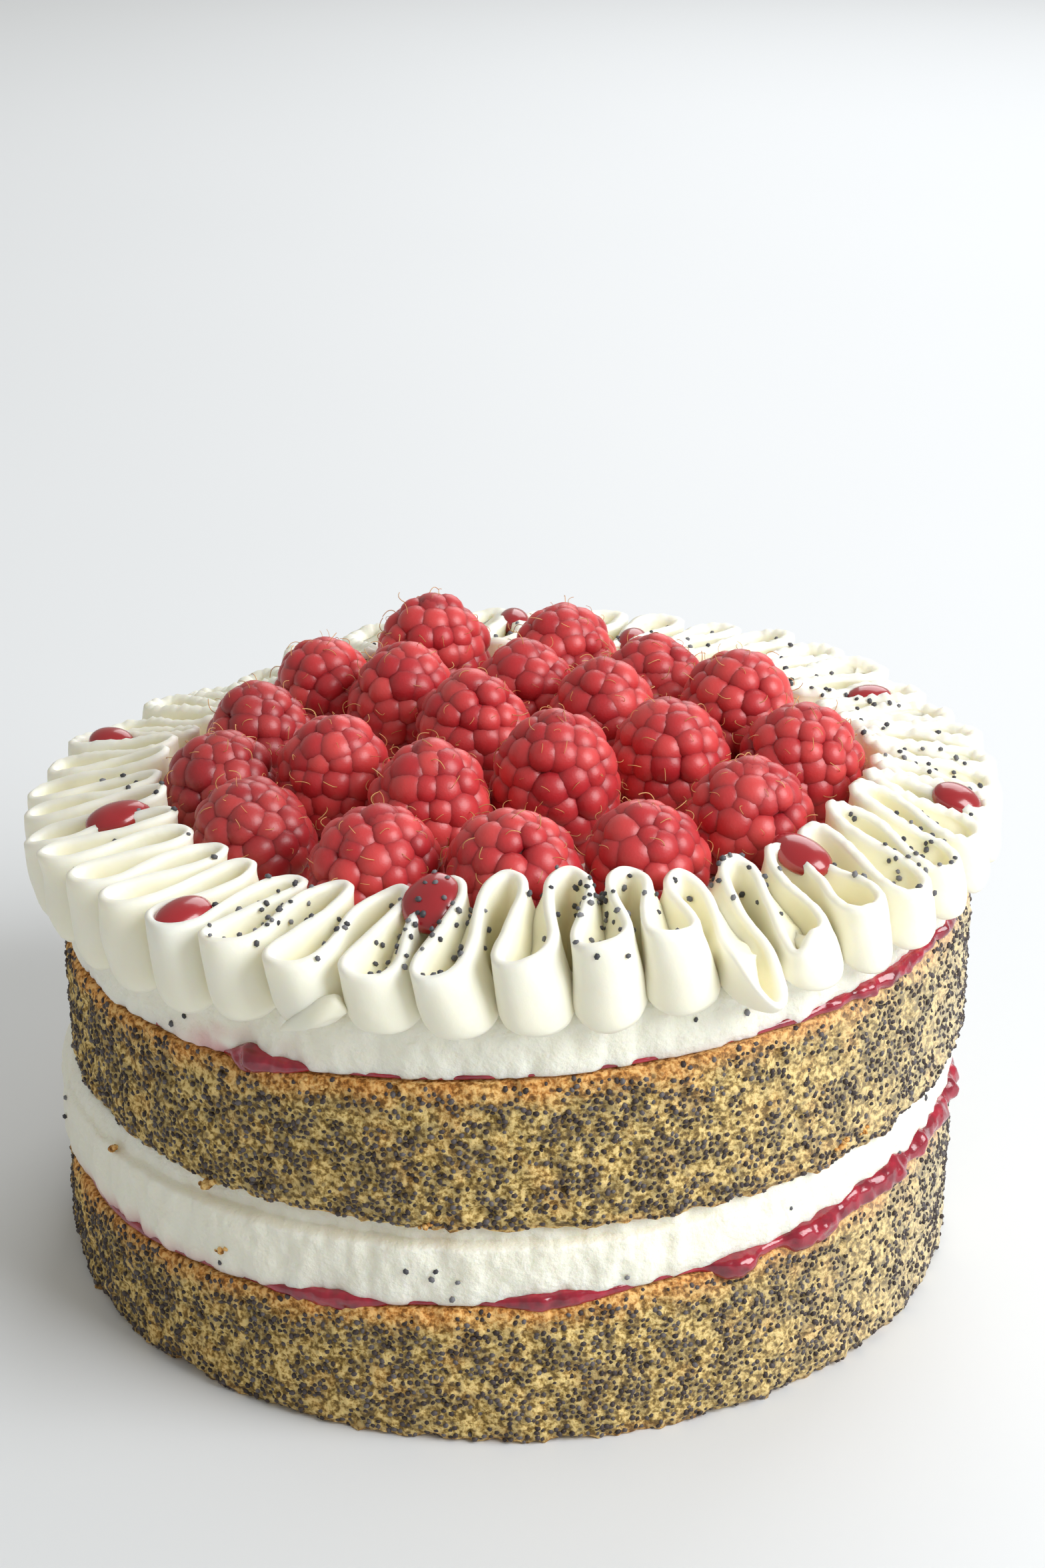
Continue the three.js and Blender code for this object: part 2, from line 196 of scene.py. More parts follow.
print("faces between two rings of six:", len(ring_faces(2, 6)))

# %% Painting and reading points
def paint(piece, name, values, kind="FLOAT"):
    """Stores a value for each point of a piece, for its material or its scattering to read."""
    field = "vector" if kind == "FLOAT_VECTOR" else "value"
    number = bool if kind == "BOOLEAN" else np.float32
    attribute = piece.data.attributes.new(name, kind, "POINT")
    attribute.data.foreach_set(field, np.asarray(values, dtype=number).ravel())


def paint_evenly(piece, **values):
    """Stores one and the same value for all points of a piece, for each name."""
    for name, value in values.items():
        paint(piece, name, np.full(len(piece.data.vertices), value))


def read_points(piece, field="co"):
    """The piece's points as an array, or with "normal" the ways that they face."""
    flat = np.empty(len(piece.data.vertices) * 3)
    piece.data.vertices.foreach_get(field, flat)
    return flat.reshape(-1, 3)


def triangles(piece):
    return sum(len(face.vertices) - 2 for face in piece.data.polygons)


# %% [markdown]
# ## Writing nodes as expressions
# Materials and scatterings are node trees. A small class wraps one output socket, so that sums and
# products of wires read as ordinary expressions, and a second class adds any other node in one
# call. Both work for shader trees and geometry trees alike.

# %% Node helpers
class Wire:
    """One output socket. Arithmetic on it adds Math nodes to its tree."""

    def __init__(self, tree, socket):
        self.tree = tree
        self.socket = socket

    def calculate(self, operation, first, second):
        return self.tree.add("ShaderNodeMath", {0: first, 1: second}, operation=operation)

    def __add__(self, other):
        return self.calculate("ADD", self, other)

    def __radd__(self, other):
        return self.calculate("ADD", other, self)

    def __sub__(self, other):
        return self.calculate("SUBTRACT", self, other)

    def __mul__(self, other):
        return self.calculate("MULTIPLY", self, other)

    def __rmul__(self, other):
        return self.calculate("MULTIPLY", other, self)

    def clipped(self):
        return self.tree.add("ShaderNodeClamp", {"Value": self})


class Tree:
    """Adds nodes to a node tree, one call for each."""

    def __init__(self, node_tree):
        self.node_tree = node_tree

    def add(self, kind, sockets=None, output=0, **settings):
        """Adds a node with its settings, fills its sockets with values or wires, returns an output."""
        node = self.node_tree.nodes.new(kind)
        for name, value in settings.items():
            if name == "stops":
                self.set_stops(node.color_ramp, value)
            else:
                setattr(node, name, value)
        for name, value in (sockets or {}).items():
            if isinstance(value, Wire):
                self.node_tree.links.new(value.socket, node.inputs[name])
            else:
                node.inputs[name].default_value = value
        return Wire(self, node.outputs[output]) if node.outputs else None

    def set_stops(self, ramp, stops):
        while len(ramp.elements) < len(stops):
            ramp.elements.new(0.5)
        for element, (place, colour) in zip(ramp.elements, stops):
            element.position = place
            element.color = (*colour, 1) if len(colour) == 3 else colour


class Finish(Tree):
    """A material whose nodes are added by Tree.add."""

    def __init__(self, name):
        self.material = bpy.data.materials.new(name)
        self.material.use_nodes = True
        super().__init__(self.material.node_tree)
        self.node_tree.nodes.clear()
        self.place = self.add("ShaderNodeTexCoord", output=3)

    def speckle(self, scale, detail=2.0, roughness=0.5):
        """Cloudy noise from 0 to 1, scale in bumps for each metre."""
        sockets = {"Vector": self.place, "Scale": scale, "Detail": detail, "Roughness": roughness}
        return self.add("ShaderNodeTexNoise", sockets)

    def read(self, name):
        """A number painted on the piece."""
        return self.add("ShaderNodeAttribute", output=2, attribute_name=name)

    def ramp(self, factor, stops):
        return self.add("ShaderNodeValToRGB", {"Fac": factor}, stops=stops)

    def mix(self, factor, first, second):
        """Blends two colours, each a wire or an (r, g, b) value."""
        full = [value if isinstance(value, Wire) else (*value, 1) for value in (first, second)]
        sockets = {0: factor, 6: full[0], 7: full[1]}
        return self.add("ShaderNodeMix", sockets, output=2, data_type="RGBA")

    def bump(self, height, distance, strength=1.0):
        sockets = {"Height": height, "Distance": distance, "Strength": strength}
        return self.add("ShaderNodeBump", sockets)

    def surface(self, sockets):
        """The finished surface: a Principled shader wired to the material's output."""
        shader = self.add("ShaderNodeBsdfPrincipled", sockets)
        self.add("ShaderNodeOutputMaterial", {"Surface": shader})
        return self.material


def finished(piece, material, slot, *nodes):
    """Gives a piece its material and body, and hides the solids that it stands for. slot is not used."""
    piece.data.materials.clear()
    piece.data.materials.append(material)
    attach(piece, "root")
    if nodes:
        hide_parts(*nodes)
    print(piece.name, "triangles:", triangles(piece))


print("wires take sums and products:", [name for name in vars(Wire) if name.endswith(("add__", "mul__"))])

# %% [markdown]
# ## Growing things with Geometry Nodes
# Seeds, drupelets and hairs repeat by the hundred. A geometry node tree places copies of one small
# shape, makes them real and gives them their material. Each tree is built here with named inputs,
# and its result is turned into a plain mesh, so that no live modifier is left on the piece.

# %% Geometry tree helpers
class Grower(Tree):
    """A geometry node group with named inputs."""

    def __init__(self, name):
        super().__init__(bpy.data.node_groups.new(name, "GeometryNodeTree"))
        for way in ("INPUT", "OUTPUT"):
            self.node_tree.interface.new_socket("Geometry", in_out=way, socket_type="NodeSocketGeometry")
        self.entry = self.node_tree.nodes.new("NodeGroupInput")
        self.defaults = {}

    def geometry(self):
        return Wire(self, self.entry.outputs["Geometry"])

    def knob(self, name, value, kind="NodeSocketFloat"):
        """A named input with its usual value."""
        self.node_tree.interface.new_socket(name, in_out="INPUT", socket_type=kind)
        self.defaults[name] = value
        return Wire(self, self.entry.outputs[name])

    def random(self, low, high, seed, kind="FLOAT"):
        places = {"FLOAT": (2, 3, 1), "FLOAT_VECTOR": (0, 1, 0)}[kind]
        sockets = {places[0]: low, places[1]: high, "Seed": seed}
        return self.add("FunctionNodeRandomValue", sockets, output=places[2], data_type=kind)

    def named(self, name, kind="FLOAT"):
        return self.add("GeometryNodeInputNamedAttribute", {"Name": name}, data_type=kind)

    def store(self, geometry, name, value, domain="POINT"):
        sockets = {0: geometry, "Name": name, "Value": value}
        return self.add("GeometryNodeStoreNamedAttribute", sockets, data_type="FLOAT", domain=domain)

    def copies(self, points, shape, rotation, scale, picked=True):
        """Copies of a shape on points, or on the picked ones."""
        sockets = {"Points": points, "Instance": shape, "Selection": picked}
        return self.add("GeometryNodeInstanceOnPoints", {**sockets, "Rotation": rotation, "Scale": scale})

    def standing(self):
        """The turn that points a shape's z axis along the stored outward way."""
        sockets = {"Vector": self.named("outward", "FLOAT_VECTOR")}
        return self.add("FunctionNodeAlignRotationToVector", sockets, axis="Z")

    def finish(self, geometry, material):
        """Makes copies real, sets smooth shading and the material, and ends the tree."""
        real = self.add("GeometryNodeRealizeInstances", {0: geometry})
        smooth = self.add("GeometryNodeSetShadeSmooth", {0: real})
        dressed = self.add("GeometryNodeSetMaterial", {0: smooth, "Material": material})
        self.add("NodeGroupOutput", {"Geometry": dressed})

    def grow(self, name, source, **values):
        """Runs the tree on a copy of a source object and returns the result as a plain mesh object."""
        holder = source.copy()
        holder.data = source.data
        bpy.context.scene.collection.objects.link(holder)
        modifier = holder.modifiers.new("grow", "NODES")
        modifier.node_group = self.node_tree
        settings = self.defaults | {key.replace("_", " "): value for key, value in values.items()}
        for item in self.node_tree.interface.items_tree:
            if item.in_out == "INPUT" and item.name in settings:
                modifier[item.identifier] = settings[item.name]
        graph = bpy.context.evaluated_depsgraph_get()
        mesh = bpy.data.meshes.new_from_object(holder.evaluated_get(graph), depsgraph=graph)
        mesh.name = name
        holder.modifiers.clear()
        bpy.data.objects.remove(holder)
        piece = bpy.data.objects.new(name, mesh)
        bpy.context.scene.collection.objects.link(piece)
        return piece


print("a tree is built with:", ", ".join(name for name in vars(Grower) if name[0] != "_"))

# %% [markdown]
# ## Camera, floor and light
# The picture was taken with a long lens, a little above the cake, in soft bright daylight from the
# right. The camera repeats that view. A pale floor, a big soft light from the right and a little in
# front, and a weaker one from behind give the same gentle shading.

# %% Camera
CAMERA_AIM = np.array([1.0, 0.0, 83.1]) * MM
CAMERA_DISTANCE = 574 * MM
CAMERA_ELEVATION = math.radians(23.6)
camera_data = bpy.data.cameras.new("camera")
camera_data.lens = 75.0
camera_data.sensor_width = 36.0
camera_data.clip_start = 0.01
camera = bpy.data.objects.new("camera", camera_data)
bpy.context.scene.collection.objects.link(camera)
sight_line = np.array([0, -math.cos(CAMERA_ELEVATION), math.sin(CAMERA_ELEVATION)])
camera.location = CAMERA_AIM + CAMERA_DISTANCE * sight_line
camera.rotation_euler = (math.pi / 2 - CAMERA_ELEVATION, 0, 0)
bpy.context.scene.camera = camera
print("camera at", tuple(round(v, 4) for v in camera.location))

# %% Floor and light
floor_finish = Finish("pale floor")
pale = floor_finish.mix(floor_finish.speckle(3.0), (0.755, 0.78, 0.815), (0.79, 0.812, 0.85))
floor_material = floor_finish.surface({"Base Color": pale, "Roughness": 0.6})
FLOOR_HALF = 3.0
corners = [(x * FLOOR_HALF, y * FLOOR_HALF, 0) for x, y in ((-1, -1), (1, -1), (1, 1), (-1, 1))]
floor = make_object("floor", corners, [[0, 1, 2, 3]])
floor.data.materials.append(floor_material)

world = bpy.data.worlds.new("daylight")
world.use_nodes = True
sky = world.node_tree.nodes["Background"]
sky.inputs["Color"].default_value = (0.98, 0.955, 0.87, 1)
sky.inputs["Strength"].default_value = 0.44
bpy.context.scene.world = world
bpy.context.scene.view_settings.view_transform = "Standard"


def soft_light(name, place, aim, size, power, colour):
    """A square light that faces a point."""
    data = bpy.data.lights.new(name, "AREA")
    data.shape = "SQUARE"
    data.size = size
    data.energy = power
    data.color = colour
    light = bpy.data.objects.new(name, data)
    bpy.context.scene.collection.objects.link(light)
    light.location = place
    direction = np.array(aim) - np.array(place)
    yaw = math.atan2(direction[1], direction[0]) - math.pi / 2
    pitch = math.atan2(direction[2], math.hypot(direction[0], direction[1])) + math.pi / 2
    light.rotation_euler = (pitch, 0, yaw)


soft_light(
    "window_right", (1.12, -0.57, 0.93), aim=(0, 0, 0.06), size=1.0, power=25.5, colour=(0.975, 0.99, 1.0))
soft_light(
    "window_back", (0.35, 1.05, 0.75), aim=(0, 0, 0.08), size=0.9, power=6.0, colour=(0.97, 0.985, 1.0))
print("lights:", [light.name for light in bpy.data.lights])

# %% [markdown]
# ## Sponge
# The sponge was cut, so its side is an open crumb: grains about a millimetre across with small
# holes between them, and an edge that breaks away in clumps at the bottom. A displaced round wall
# gives real relief at that scale. A painted value marks the browned band under the top edge.

# %% Sponge walls
SPONGE_STEPS, SPONGE_ROWS = 900, 46
# Cell and height of each size of unevenness: grains, clumps at the foot, patches of seeds
GRAINS = [(7 * MM, 0.35 * MM), (2.6 * MM, 0.36 * MM), (1.2 * MM, 0.42 * MM)]
CLUMPS = [(4.5 * MM, 0.8), (2.0 * MM, 0.6)]
SEED_PATCHES = [(1.9 * MM, 0.65), (6 * MM, 0.3)]
HOLE_SIZE, HOLE_DEPTH = 1.9 * MM, 2.4 * MM
TOASTED_TOP, TOASTED_FOOT = 3.4 * MM, 1.2 * MM
# Directions where the seeds crowd, and where they are few and a painted glare makes the crumb pale, in
# degrees
CROWDED_WAY, SPARSE_AND_GLARE_WAY = -155, 0


def sponge_skin(name, centre_x, bottom, top, seed):
    """A drum of crumb between two levels."""
    angle = turns(SPONGE_STEPS)[None, :]
    drop = np.linspace(0, 1, SPONGE_ROWS)[:, None]
    x = centre_x + CAKE_RADIUS * np.cos(angle) + 0 * drop
    y = CAKE_RADIUS * np.sin(angle) + 0 * drop
    high = level_at(top, x, y)
    low = level_at(bottom, x, y)
    z = high + (low - high) * drop
    wall = np.stack([x, y, z], axis=-1).reshape(-1, 3)
    holes = np.clip(bumps(wall, HOLE_SIZE, seed + 9) - 0.5, 0, 1) * HOLE_DEPTH
    relief = (layered_bumps(wall, GRAINS, seed) - holes).reshape(x.shape)
    from_top, from_base = high - z, z - low
    relief -= 0.7 * MM * np.exp(-from_top / (0.7 * MM))
    clump = layered_bumps(wall, CLUMPS, seed + 20).reshape(x.shape)
    near_base = np.exp(-from_base / (1.5 * MM))
    relief += near_base * (0.9 * MM * clump - 1.0 * MM)
    z = z + near_base * 0.9 * MM * np.abs(bumps(wall, 3.0 * MM, seed + 31)).reshape(x.shape)
    piece = skin(name, around(CAKE_RADIUS - 0.2 * MM + relief, angle, z, centre_x))
    toast = np.exp(-(from_top / TOASTED_TOP) ** 2) + np.exp(-(from_base / TOASTED_FOOT) ** 2) * 0.4
    patches = layered_bumps(wall, SEED_PATCHES, seed + 40).reshape(x.shape)
    degrees = np.degrees(angle)
    likely = 0.62 + 0.22 * hill(degrees, CROWDED_WAY, 32) - 0.06 * hill(degrees, SPARSE_AND_GLARE_WAY, 45)
    crowd = np.clip(likely + 1.7 * patches, 0.12, 1)
    crowd = np.maximum(crowd, np.exp(-(from_base / (2.0 * MM)) ** 2))
    crowd *= 1 - 0.55 * np.exp(-(from_top / (2.6 * MM)) ** 2)
    crowd[[0, -1]] = 0
    # Painted glare: the value pale lightens the crumb where the light from the right catches it
    pale = hill(degrees, SPARSE_AND_GLARE_WAY, 42) + 0 * x
    for value_name, values in (("toast", toast), ("cover", crowd), ("pale", pale)):
        paint(piece, value_name, np.append(values.reshape(-1), [0, 0]))
    return piece


lower_crumb = sponge_skin("lower_sponge_crumb", LOWER_SHIFT, FLAT_BASE, LOWER_SPONGE_TOP, 100)
upper_crumb = sponge_skin("upper_sponge_crumb", 0.0, LOWER_CREAM_TOP, UPPER_SPONGE_TOP, 200)
print("points on each sponge:", len(lower_crumb.data.vertices))

# %% [markdown]
# The crumb is pale olive and straw coloured, with warmer grains, an orange brown band where it
# baked, and grey where a seed lies just under the surface. All of that is mixed from noise at the
# size of the grains, so no two places are alike. Towards the right the side has fewer seeds, and a
# painted glare makes it paler where the light from the right catches it; towards the left it has
# more seeds.

# %% Crumb finish
crumb = Finish("poppy seed crumb")
grain_noise = crumb.speckle(1050, 2.0, 0.6)
patch_noise = crumb.speckle(140, 2.0)
pale_crumb = crumb.ramp(grain_noise, [
    (0.38, (0.17, 0.105, 0.030)), (0.48, (0.46, 0.31, 0.095)), (0.58, (0.80, 0.60, 0.25)),
])
warm_crumb = crumb.ramp(grain_noise, [
    (0.36, (0.24, 0.09, 0.018)), (0.48, (0.60, 0.26, 0.06)), (0.60, (0.86, 0.50, 0.18)),
])
toasted = (crumb.read("toast") + 1.7 * (patch_noise - 0.52)).clipped()
blend = crumb.mix(toasted, pale_crumb, warm_crumb)
buried = (crumb.read("cover") * crumb.read("cover") * 0.5).clipped()
shaded = crumb.mix(buried, blend, (0.13, 0.10, 0.055))
sunk = crumb.add("ShaderNodeTexVoronoi", {"Vector": crumb.place, "Scale": 620.0, "Randomness": 1.0})
sunk_mask = crumb.ramp(sunk, [(0.16, (1, 1, 1)), (0.34, (0, 0, 0))])
sunk_share = sunk_mask * (0.25 + 0.7 * crumb.read("cover"))
# Painted glare: the crumb is mixed towards pale straw on the right, where the light catches it
painted_glare_crumb = crumb.mix(0.44 * crumb.read("pale"), shaded, (0.80, 0.76, 0.62))
crumb_colour = crumb.mix(sunk_share, painted_glare_crumb, (0.055, 0.040, 0.032))
crumb_material = crumb.surface({
    "Base Color": crumb_colour, "Roughness": 0.85, "Specular IOR Level": 0.25,
    "Subsurface Weight": 0.08, "Subsurface Scale": 0.002,
    "Normal": crumb.bump(grain_noise, 0.0006, 0.7),
})
finished(lower_crumb, crumb_material, "poppy_seed_sponge", "lower_sponge")
finished(upper_crumb, crumb_material, "poppy_seed_sponge", "upper_sponge")

# %% [markdown]
# ## Poppy seeds
# A poppy seed is about a millimetre long, a little flattened, and dark blue grey to brown. About
# one lies on every two square millimetres of the cut side. Points spread with a smallest distance
# between them look like real seeds, because two seeds never share a place.

# %% Seed finishes
def seed_finish(name, darkest, middling, palest):
    seed_look = Finish(name)
    colour = seed_look.ramp(seed_look.read("tone"), [(0.0, darkest), (0.6, middling), (1.0, palest)])
    return seed_look.surface({
        "Base Color": colour, "Roughness": 0.55, "Specular IOR Level": 0.4,
        "Normal": seed_look.bump(seed_look.speckle(4000), 0.00006, 0.6),
    })


seed_material = seed_finish(
    "poppy seed", (0.030, 0.019, 0.018), (0.060, 0.044, 0.044), (0.13, 0.115, 0.12))
loose_seed_material = seed_finish(
    "loose poppy seed", (0.045, 0.045, 0.055), (0.10, 0.10, 0.115), (0.21, 0.21, 0.23))
print("seed finishes:", seed_material.name, "and", loose_seed_material.name)

# %% Seed scattering
seeder = Grower("seeds on a skin")
spacing = seeder.knob("Smallest distance", 0.0009)
thickness = seeder.knob("Seed radius", 0.00053)
depth = seeder.knob("Sunk by", 0.0001)
fixed = seeder.knob("Seed", 1, "NodeSocketInt")
most = seeder.knob("Most per area", 1.9e6)
spread = seeder.add("GeometryNodeDistributePointsOnFaces", {
    "Mesh": seeder.geometry(), "Distance Min": spacing, "Density Max": most,
    "Density Factor": seeder.named("cover"), "Seed": fixed,
}, distribute_method="POISSON")
facing = Wire(seeder, spread.socket.node.outputs["Rotation"])
ball = seeder.add("GeometryNodeMeshIcoSphere", {"Radius": thickness, "Subdivisions": 1})
flat_ball = seeder.add("GeometryNodeTransform", {"Geometry": ball, "Scale": (1.12, 0.9, 0.78)})
placed = seeder.copies(spread, flat_ball, facing, seeder.random(0.78, 1.2, 5))
lowered_by = seeder.add("ShaderNodeCombineXYZ", {"Z": depth * seeder.random(-2.0, 0.0, 6)})
lowered = seeder.add("GeometryNodeTranslateInstances", {"Instances": placed, "Translation": lowered_by})
spin = seeder.random((-0.5, -0.5, -3.14), (0.5, 0.5, 3.14), 8, "FLOAT_VECTOR")
turned = seeder.add("GeometryNodeRotateInstances", {"Instances": lowered, "Rotation": spin})
toned = seeder.store(turned, "tone", seeder.random(0.0, 1.0, 11), "INSTANCE")
seeder.finish(toned, seed_material)
print("inputs of the seed tree:", seeder.defaults)

# %% Seeds in the sponge
def sow(name, skin_piece, material, slot, gap, seed, sunk_by, most_per_area):
    """Scatters seeds on a piece by its painted cover, a gap apart, at most so many a square metre."""
    seeds = seeder.grow(
        name, skin_piece, Smallest_distance=gap, Seed=seed, Sunk_by=sunk_by, Most_per_area=most_per_area)
    finished(seeds, material, slot)


for half, crumb_piece, seed in (("lower", lower_crumb, 4), ("upper", upper_crumb, 7)):
    name = half + "_sponge_seeds"
    sow(name, crumb_piece, seed_material, "poppy_seed_sponge",
        gap=0.00086, seed=seed, sunk_by=0.00012, most_per_area=2.6e6)

# %% [markdown]
# ## Whipped cream layers
# The cream between the sponges was spread with a knife, so its side is rough, with short upright
# strokes, and it bulges past the sponge at the left. In front its top edge is set back, which
# leaves a shaded ledge under the upper sponge. The upper layer has a rounded top edge.

# %% Cream skins
CREAM_STEPS, CREAM_ROWS = 720, 44
EDGE_INSET, EDGE_DROP = 4.2 * MM, 5.0 * MM
STROKES = [(6 * MM, 0.5 * MM), (2.4 * MM, 0.5 * MM), (1.2 * MM, 0.30 * MM)]
SIDE_BULGE, LEDGE_DEPTH, EDGE_FALL = 1.7 * MM, 2.4 * MM, 0.8 * MM
CAP_SHARES = (0.15, 0.3, 0.45, 0.6, 0.75, 0.88, 0.95, 0.985)


def cream_points(centre_x, bottom, top, reach_at, seed):
    """Side of a cream layer. reach_at says how far it stands out at a direction and a height share."""
    angle = turns(CREAM_STEPS)[None, :]
    share = np.linspace(1, 0, CREAM_ROWS)[:, None]
    x = centre_x + CAKE_RADIUS * np.cos(angle) + 0 * share
    y = CAKE_RADIUS * np.sin(angle) + 0 * share
    low = level_at(bottom, x, y)
    z = low + (level_at(top, x, y) - low) * share
    stroke = np.stack([x, y, z * 0.45], axis=-1).reshape(-1, 3)
    rough = layered_bumps(stroke, STROKES, seed).reshape(x.shape)
    radius = CAKE_RADIUS - 0.6 * MM + reach_at(np.degrees(angle), share) + rough
    return around(radius, angle, z, centre_x)


def add_top(points, top, seed):
    """Adds rings from the middle of the top out to the first ring, a little uneven."""
    rings = []
    for share in CAP_SHARES:
        ring = points[0].copy()
        ring[:, :2] *= share
        ring[:, 2] = level_at(top, ring[:, 0], ring[:, 1]) + 0.5 * MM * bumps(ring, 7 * MM, seed)
        rings.append(ring)
    return np.concatenate([np.array(rings), points])


def lower_reach(degrees, share):
    """How far the lower cream stands out: a bulge at the left, a ledge in front, rounded edges."""
    bulge = SIDE_BULGE * hill(degrees, 178, 26) * (1 - (2 * share - 0.9) ** 2)
    ledge = LEDGE_DEPTH * hill(degrees, -108, 42) * np.clip((share - 0.74) / 0.05, 0, 1)
    edges = EDGE_FALL * (np.exp(-share * 9) + np.exp(-(1 - share) * 12))
    return bulge - ledge - edges


lower_cream = skin("lower_cream_spread", cream_points(
    LOWER_SHIFT, raised(LOWER_SPONGE_TOP, 0.6 * MM), raised(LOWER_CREAM_TOP, 0.4 * MM), lower_reach, 300,
))


def upper_reach(degrees, share):
    """How far the upper cream stands out: its top edge is rounded off."""
    rounding = np.clip((share - 0.62) / 0.38, 0, 1)
    return -EDGE_INSET * (1 - np.sqrt(1 - 0.98 * rounding ** 2)) - 0.5 * MM * np.exp(-share * 9)


upper_side = cream_points(0.0, raised(UPPER_SPONGE_TOP, 0.6 * MM), UPPER_CREAM_TOP, upper_reach, 340)
upper_cream = skin("upper_cream_spread", add_top(upper_side, UPPER_CREAM_TOP, 350))
print("rings of the upper cream:", CREAM_ROWS + len(CAP_SHARES))

# %% [markdown]
# Cream is white but never paper white: it is a little warm, light goes some way into it, and thin
# shaded places look yellow; that yellow is painted in from a stored value as painted shade and
# bounced light. Near the jam it takes on a pink stain. Subsurface scattering with one fixed
# setting gives the glow, and a fine bump breaks up the shine.

# %% Cream finish
SPREAD_WHITE = (0.955, 0.935, 0.82)
PIPED_WHITE = (0.95, 0.935, 0.85)
CREAM_SHADE = (0.925, 0.895, 0.76)
# Painted shade: the yellow of bounced light in the hollows and creases of the cream
HOLLOW_SHADE_YELLOW = (0.87, 0.77, 0.37)


def cream_finish(name, white, bump_scale, bump_height):
    cream = Finish(name)
    cloud = cream.mix(cream.speckle(90, 2.0), white, CREAM_SHADE)
    # Painted shade: the painted value deep mixes the cream towards yellow in its hollows
    hollow_shaded = cream.mix(cream.read("deep"), cloud, HOLLOW_SHADE_YELLOW)
    stained = cream.mix(cream.read("stain"), hollow_shaded, (0.62, 0.10, 0.17))
    return cream.surface({
        "Base Color": stained, "Roughness": 0.5, "Subsurface Weight": 0.5,
        "Subsurface Radius": (1.0, 0.78, 0.5), "Subsurface Scale": 0.004,
        "Normal": cream.bump(cream.speckle(bump_scale, 3.0, 0.55), bump_height, 0.8),
    })


spread_cream = cream_finish("spread cream", SPREAD_WHITE, 800, 0.0006)
piped_cream = cream_finish("piped cream", PIPED_WHITE, 500, 0.00012)


def stain_cream(piece, centre_x, bottom, stains, seed):
    """Pink stains low on a cream side. stains is a list of (direction, width, height, strength)."""
    places = read_points(piece)
    degrees = direction_of(places, centre_x)
    height = places[:, 2] - level_at(bottom, places[:, 0], places[:, 1])
    ragged = 1 + 0.6 * bumps(places, 3 * MM, seed)
    stain = np.zeros(len(places))
    for direction, width, reach, strength in stains:
        stain += strength * hill(degrees, direction, width) * np.exp(-(height / (reach * ragged)) ** 2)
    paint(piece, "stain", np.clip(stain, 0, 1))


stain_cream(lower_cream, LOWER_SHIFT, LOWER_SPONGE_TOP, [
    (-146, 16, 2.6 * MM, 0.8), (-112, 9, 1.6 * MM, 0.8), (-30, 22, 2.0 * MM, 0.6), (90, 60, 1.2 * MM, 0.4),
], 360)
stain_cream(upper_cream, 0.0, UPPER_SPONGE_TOP, [
    (-125, 8, 3.2 * MM, 0.8), (-45, 26, 1.5 * MM, 0.5), (100, 70, 1.2 * MM, 0.4),
], 361)
finished(lower_cream, spread_cream, "whipped_cream", "lower_cream")
finished(upper_cream, spread_cream, "whipped_cream", "upper_cream")

# %% [markdown]
# ## Jam
# Jam was spread on each sponge and pressed out by the cream. Most of the way round only a thin dark
# line shows, but at the right it swells into a lumpy rope with heavy drops. The edge is a bead
# whose height and reach are a thin base plus a few hills, roughened by lumps of fruit.

# %% Jam beads
JAM_STEPS, BEAD_POINTS = 1300, 18
# How far the thin line reaches above, below and out where no bead is, in millimetres
THIN_LINE = (-0.05, -0.05, -0.25)
# Direction and width in degrees, then how far the jam stands above, below and out from the joint
LOWER_BEADS = [
    (-62, 3.0, 1.0, 4.0, 3.1), (-52, 4.0, 1.6, 3.0, 3.0), (-40, 8, 2.4, 1.0, 2.2), (-24, 10, 2.6, 0.9, 2.2),
    (-8, 9, 1.7, 0.8, 1.7), (-112, 6.5, 1.0, 2.1, 1.7), (-84, 6.5, 0.9, 1.7, 1.6), (-146, 9, 0.5, 0.3, 0.5),
    (60, 25, 0.8, 1.6, 1.4), (130, 20, 0.6, 0.9, 1.1),
]
UPPER_BEADS = [
    (-43, 3.4, 1.2, 1.4, 2.2), (-50, 9, 0.9, 0.4, 1.3), (-36, 4, 1.0, 1.0, 1.9), (-25, 7, 1.3, 0.8, 1.8),
    (-122.5, 2.8, 1.6, 1.3, 1.9), (-118, 3.0, 0.7, 0.8, 1.4),
    (35, 20, 0.9, 0.8, 1.6), (110, 18, 0.5, 1.4, 1.5), (160, 14, 0.6, 0.8, 1.3),
]

JAM_LUMPS = [(2.6 * MM, 0.3), (1.3 * MM, 0.16)]


